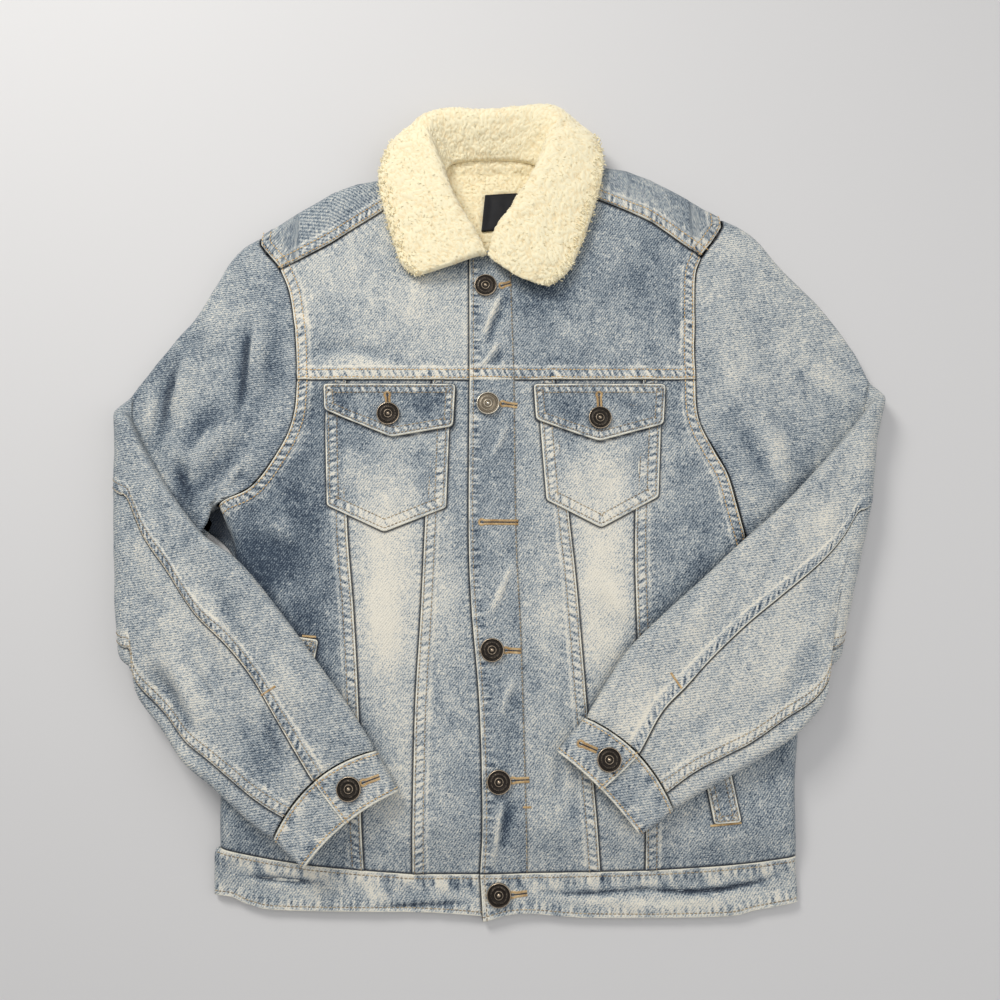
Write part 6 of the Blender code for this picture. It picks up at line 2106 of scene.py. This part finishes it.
buttons = (
    Button("button_1", -0.0135, 0.1910, "placket"),
    Button("button_2", -0.0110, 0.0770, "placket"),
    Button("button_3", -0.0070, -0.1460, "placket"),
    Button("button_4", -0.0010, -0.2580, "placket"),
    Button("button_5", -0.0010, -0.3525, "waistband_right"),
    Button("button_6", -0.1020, 0.0670, "flap_left"),
    Button("button_7", 0.0910, 0.0630, "flap_right"),
    Button("button_8", -0.1270, -0.2620, "cuff_left"),
    Button("button_9", 0.0920, -0.2380, "cuff_right"),
)


def gridSurface(face, relief):
    # the topmost of a tube's points near each place
    points = face.reshape(-1, 3) + (0, 0, 1) * relief.reshape(-1, 1)

    def height(places):
        found = []
        for place in np.atleast_2d(places):
            away = np.linalg.norm(points[:, :2] - place, axis=1)
            high = points[:, 2] > points[away < 0.008, 2].max() - 0.0032
            weight = np.where(high, np.exp(-(away / 0.0016) ** 2), 0) + 1e-12
            found.append((points[:, 2] * weight).sum() / weight.sum())
        return np.array(found)

    return height


def surfaceOf(node):
    # the height of what carries a button or a row of stitches
    for panel in frontPanels:
        if panel.node == node:
            return lambda points: panelTop(np.atleast_2d(points), panel)
    for patch in patchPieces:
        if patch.node == node:
            return lambda points: patchTop(np.atleast_2d(points), patch, patchOutlines[patch.node])
    if node.startswith("cuff"):
        return gridSurface(*cuffs[node.split("_")[1]])
    if node.startswith("top_sleeve"):
        top = sleeves[node.split("_")[2]][0]["top"]
        return gridSurface(top["face"], top["relief"])
    return lambda points: labelTop(np.atleast_2d(points))


def upwards(surface, points, reach=0.0012):
    # the surface's normal at each point
    points = np.atleast_2d(points)
    slope = [(surface(points + step) - surface(points - step)) / (2 * reach)
             for step in (np.array((reach, 0)), np.array((0, reach)))]
    normal = np.column_stack([-slope[0], -slope[1], np.ones(len(points))])
    return normal / np.linalg.norm(normal, axis=1)[:, None]


def makeButtons():
    turns = np.linspace(0, 2 * math.pi, button["sides"], endpoint=False)
    points, rub = [(0, 0, 0)], [0.1]
    for radius, height, worn, notched in button["profile"]:
        cut = 0.00022 * notched * np.cos(button["notches"] * turns)
        points += list(np.column_stack([radius * np.cos(turns), radius * np.sin(turns), height + cut]))
        rub += [worn] * len(turns)
    points.append((0, 0, button["profile"][-1][1] + 0.0001))
    rub.append(1.0)
    points = np.array(points)
    faces = []
    sides = button["sides"]
    for k in range(sides):
        after = (k + 1) % sides
        faces.append((0, 1 + after, 1 + k))
        for level in range(len(button["profile"]) - 1):
            low = 1 + level * sides
            faces.append((low + k, low + after, low + sides + after, low + sides + k))
        faces.append((len(points) - 1, low + sides + k, low + sides + after))
    for number, one in enumerate(buttons):
        surface = surfaceOf(one.carrier)
        place = np.array((one.x, one.y))
        ring = place + 0.007 * np.column_stack([np.cos(turns[::9]), np.sin(turns[::9])])
        height = float(surface(ring).mean())
        normal = upwards(surface, place, 0.008)[0]
        side = np.cross(normal, (0.3, 1.0 + number, 0))
        side /= np.linalg.norm(side)
        axes = np.array((side, np.cross(normal, side), normal))
        piece = addObject(one.node.replace("_", ""), points @ axes + (one.x, one.y, height + 0.0001), faces,
                          wornBronze if number == 1 else bronze, None, {"rub": rub})
        finished(piece, "bronze", one.node)


makeButtons()
print("stage: buttons")

# ---- the stitching

stitch = {
    "pitch": 0.0036, "length": 0.0030, "thickness": 0.00100,
    "hole": (0.00078, 0.0026, 0.00072),  # pitch, length and thickness of the stitches round a buttonhole
    "holeHalf": 0.00155, "eye": 0.0026, "eyeNeck": 0.0045, "holeStep": 0.0006,
    "slit": (0.0006, 0.0014, 0.0010), "tack": (0.0008, 0.0022, 0.0008), "label": (0.0024, 0.0017, 0.0004),
}


def stitchTree():
    # a stitch at every step along the guide's lines, lying along each line or turned across it
    tree, given, out = newTree("stitches", "Pitch", "Length", "Thickness", "Yaw", "Lift")
    curve = joined(tree, "GeometryNodeMeshToCurve", {"Mesh": given["Geometry"]})
    even = joined(tree, "GeometryNodeResampleCurve", {"Curve": curve["Curve"], "Length": given["Pitch"]},
                  mode="LENGTH")
    up = joined(tree, "GeometryNodeInputNamedAttribute", {"Name": "up"}, data_type="FLOAT_VECTOR")
    up = up["Attribute"]
    stand = joined(tree, "FunctionNodeAlignRotationToVector", {"Vector": up}, axis="Z")
    lay = joined(tree, "FunctionNodeAlignRotationToVector",
                 {"Rotation": stand["Rotation"], "Vector": joined(tree, "GeometryNodeInputTangent", {})[0]},
                 axis="X", pivot_axis="Z")
    stray = joined(tree, "FunctionNodeRandomValue", {2: -0.09, 3: 0.09, "Seed": given["Seed"]})
    yaw = joined(tree, "ShaderNodeCombineXYZ", {2: sums(tree, "ADD", given["Yaw"], stray[1])})
    ball = joined(tree, "GeometryNodeMeshUVSphere", {"Segments": 6, "Rings": 4, "Radius": 0.5})
    grain = joined(tree, "GeometryNodeTransform", {"Geometry": ball["Mesh"], "Rotation": (0, math.pi / 2, 0)})
    spread = joined(tree, "ShaderNodeCombineXYZ",
                    {0: given["Length"], 1: given["Thickness"], 2: given["Thickness"]})
    size = joined(tree, "GeometryNodeTransform", {"Geometry": grain["Geometry"], "Scale": spread[0]})
    raised = joined(tree, "ShaderNodeVectorMath", {0: up, "Scale": given["Lift"]}, operation="SCALE")
    move = joined(tree, "GeometryNodeSetPosition", {"Geometry": even["Curve"], "Offset": raised[0]})
    feed(tree, out, strewn(tree, given, move["Geometry"], size["Geometry"],
                           spun(tree, lay["Rotation"], yaw[0]), True))
    return tree


stitches = stitchTree()


def sewn(name, rows, material, seed, pitch, length, thickness, yaw=0.0, lift=0.00025):
    # one piece from rows of stitches, each row its points and the directions that are up there
    points, normals, edges = [], [], []
    count = 0
    for line, up in rows:
        points.append(line)
        normals.append(up)
        edges += [(count + k, count + k + 1) for k in range(len(line) - 1)]
        count += len(line)
    mesh = bpy.data.meshes.new(name + "Guide")
    mesh.from_pydata(np.vstack(points).tolist(), edges, [])
    mesh.attributes.new("up", "FLOAT_VECTOR", "POINT").data.foreach_set("vector", np.vstack(normals).ravel())
    return finished(grown(name, placed(name + "Guide", mesh), stitches, material, Pitch=pitch, Length=length,
                          Thickness=thickness, Yaw=yaw, Lift=lift, Seed=seed), "denim")


def onSurface(surface, plan):
    plan = np.atleast_2d(plan)
    return np.column_stack([plan, surface(plan)]), upwards(surface, plan)


def runsInside(line, outline, least=0.0007):
    # the stretches of a line that lie inside an outline
    kept = depthInside(line, outline) > least
    runs, current = [], []
    for point, ok in zip(line, kept):
        if ok:
            current.append(point)
        elif current:
            runs.append(current)
            current = []
    runs.append(current)
    return [np.array(run) for run in runs if len(run) > 3]


def panelRows():
    tan, gold = [], []
    for panel in frontPanels:
        outline, surface = outlineOf(panel.edges), surfaceOf(panel.node)

        def sew(into, line, rows, highest=-1.0):
            for away in rows:
                for side in (away, -away):
                    for run in runsInside(alongside(line, side), outline):
                        if run[0, 1] > highest:
                            into.append(onSurface(surface, run[::2]))

        for name, kind in seamsOf(panel).items():
            rows = {"felled": body["rows"], "free": (body["freeRow"],)}.get(kind, ())
            if panel.node == "placket" and name in ("stitchHigh", "stitchLow"):
                rows = (0.0008,)
            sew(gold if name.startswith(("yoke", "armhole")) else tan, seamLine[name], rows)
        if panel.node == "placket":
            sew(gold, seamLine["yokePlacket"], body["rows"], lines["yokePlacket"][0][1])
    return tan, gold


def patchRows():
    rows = []
    for patch in patchPieces:
        outline, surface = patchOutlines[patch.node], surfaceOf(patch.node)
        for away in patchKinds[patch.kind]["rows"]:
            line = closed(shrink(outline, away))
            if patch.kind == "pocket":  # not where the flap covers it
                line = line[line[:, 1] < 0.078]
                start = int(np.argmax(np.linalg.norm(np.diff(line, axis=0), axis=1)))
                line = np.vstack([line[start + 1:], line[:start + 1]])
            rows.append(onSurface(surface, line[::2]))
    return rows


def seamRowsOn(face, relief, away, distance, wanted):
    # a row at a distance from a seam, read along each row of a grid; wanted says which columns to read
    middle = (len(face) // 2, face.shape[1] // 2)
    normal = facing(surfaceNormals(face), middle, face[middle] - face.mean((0, 1)))
    both = np.concatenate([face + normal * relief[..., None], normal], axis=2)
    found = []
    for i in range(1, len(face) - 1):
        gap = away[i, wanted]
        order = np.argsort(gap)
        found.append([np.interp(distance, gap[order], both[i, wanted, k][order]) for k in range(6)])
    line, ups = np.array(found)[:, :3], np.array(found)[:, 3:]
    return line, ups / np.linalg.norm(ups, axis=1)[:, None]


def sleeveRows():
    rows = []
    for side, (made, _) in sleeves.items():
        for part, seam in (("top", "toMain"), ("under", "toLower")):
            data = made[part]
            columns = data["face"].shape[1]
            wanted = np.arange(24) if part == "top" else np.arange(columns - 12, columns)
            for away in body["rows"]:
                line, up = seamRowsOn(data["face"], data["relief"], data[seam], away, wanted)
                rows.append((line[::2], up[::2]))
    return rows


def shoulderRows():
    rows = []
    top = np.unravel_index(yokeFace[..., 2].argmax(), yokeFace.shape[:2])
    normal = facing(surfaceNormals(yokeFace), top, (0, 0, 1))
    raised = yokeFace + normal * yokeRelief[..., None]
    shown = yokeFace[..., 2] > body["height"] - 0.004
    points, ups = raised[shown], normal[shown]
    def offCloth(row):
        return np.linalg.norm(points[:, None, :2] - row[::6][None], axis=2).min(0).sum()

    for line in yokeSeams:
        for away in body["rows"]:
            best = min((alongside(line, side) for side in (away, -away)), key=offCloth)
            gaps = np.linalg.norm(points[:, None, :2] - best[None], axis=2)
            kept = gaps.min(0) < 0.002
            near = gaps.argmin(0)
            weight = np.exp(-(gaps / 0.0012) ** 2)
            height = (points[:, 2][:, None] * weight).sum(0) / np.maximum(weight.sum(0), 1e-9)
            if kept.sum() > 4:
                rows.append((np.column_stack([best, height])[kept][::2], ups[near][kept][::2]))
    return rows


def cuffRowsOf():
    # round both long sides of each cuff and across its buttonhole end
    rows = []
    for side, (face, relief) in cuffs.items():
        normal = facing(surfaceNormals(face), (len(face) // 2, 6), (0, 0, 1))
        raised = face + normal * relief[..., None]
        down, right = pathLengths(face, 0), pathLengths(face, 1)
        for way, share in ((1, 0.1), (-1, 0.9)):
            fromEdge = down if way == 1 else (down[-1:] - down)[::-1]
            line = np.array([[np.interp(cuff["row"], fromEdge[:, j], raised[::way, j, a]) for a in range(3)]
                             for j in range(1, face.shape[1] - 1)])
            rows.append((line, normal[int(share * len(face)), 1:-1]))
        fromEnd = right[:, -1:] - right
        line = np.array([[np.interp(cuff["row"], fromEnd[i, ::-1], raised[i, ::-1, a]) for a in range(3)]
                         for i in range(1, len(face) - 1)])
        rows.append((line, normal[1:-1, -3]))
    return rows


Hole = namedtuple("Hole", "start end carrier")
buttonholes = [Hole(*grouped(row[:4]), row[4]) for row in (
    (0.2, 191.5, 10, 194.8, "placket"), (1, 77.8, 15.6, 76, "placket"),
    (-17.9, -32.4, 16.1, -32.4, "placket"), (3.6, -146, 18.4, -146.8, "placket"),
    (9.6, -256.9, 24.9, -256.2, "placket"), (9.2, -353, 23, -351.4, "waistband_right"),
    (-103.4, 86.8, -102.4, 77.5, "flap_left"), (90.6, 86.8, 91.1, 73.5, "flap_right"),
    (-116.8, -257.5, -101.9, -252.1, "cuff_left"), (66.9, -224.2, 82, -230.6, "cuff_right"),
)]
barTacks = [Hole(*grouped(row[:4]), row[4]) for row in (
    (-173.6, -133.6, -162.1, -134.5, "welt_left"), (180, -294.4, 205.7, -291.9, "front_side_right"),
    (20, -279, 26.5, -279, "placket"), (-203.5, -184.5, -192.5, -177, "top_sleeve_left"),
    (146.8, -165.8, 155, -178.5, "top_sleeve_right"),
)]


def makeHole(hole):
    # the two sides of a buttonhole and the round of its eye, as one line
    start, end = np.array(hole.start), np.array(hole.end)
    way = (end - start) / np.linalg.norm(end - start)
    side = stitch["holeHalf"] * np.array((-way[1], way[0]))
    neck = start + stitch["eyeNeck"] * way
    eye = [start + 0.0016 * way + stitch["eye"] * math.cos(a) * way
           + stitch["eye"] / stitch["holeHalf"] * math.sin(a) * side
           for a in np.radians(np.arange(35, 326, 29))]
    return through([end + side, neck + side] + eye + [neck - side, end - side], stitch["holeStep"])


def makeStitching():
    tan, gold = panelRows()
    tan += patchRows()
    gold += shoulderRows()
    size = (stitch["pitch"], stitch["length"], stitch["thickness"])
    made = [sewn("seamStitches", tan, tanThread, 3, *size), sewn("yokeStitches", gold, goldThread, 4, *size),
            sewn("sleeveStitches", sleeveRows(), tanThread, 5, *size),
            sewn("cuffStitches", cuffRowsOf(), goldThread, 6, *size)]

    def across(mark, count):
        # the straight line of a slit or a bar tack, on what carries it
        start, end = np.array(mark.start), np.array(mark.end)
        return onSurface(surfaceOf(mark.carrier), start + np.linspace(0, 1, count)[:, None] * (end - start))

    holes = [onSurface(surfaceOf(hole.carrier), makeHole(hole)) for hole in buttonholes]
    label = closed(shrink(labelOutline, 0.0014))
    made += [sewn("buttonholes", holes, goldThread, 7, *stitch["hole"], math.pi / 2, 0.0002),
             # the slits: near-black marks of painted shade
             sewn("slits", [across(hole, 12) for hole in buttonholes], slitPaintedShade, 8, *stitch["slit"],
                  math.pi / 2, 0.0),
             sewn("barTacks", [across(tack, 10) for tack in barTacks], goldThread, 9, *stitch["tack"],
                  math.pi / 2, 0.0002),
             sewn("labelStitches", [onSurface(surfaceOf("label"), label)], satin, 10, *stitch["label"])]
    return made


sewing = makeStitching()
print("stage: stitching", [len(piece.data.polygons) for piece in sewing])

bpy.context.view_layer.update()
print("triangles", {piece.name: sum(len(f.vertices) - 2 for f in piece.data.polygons)
                    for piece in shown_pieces()})
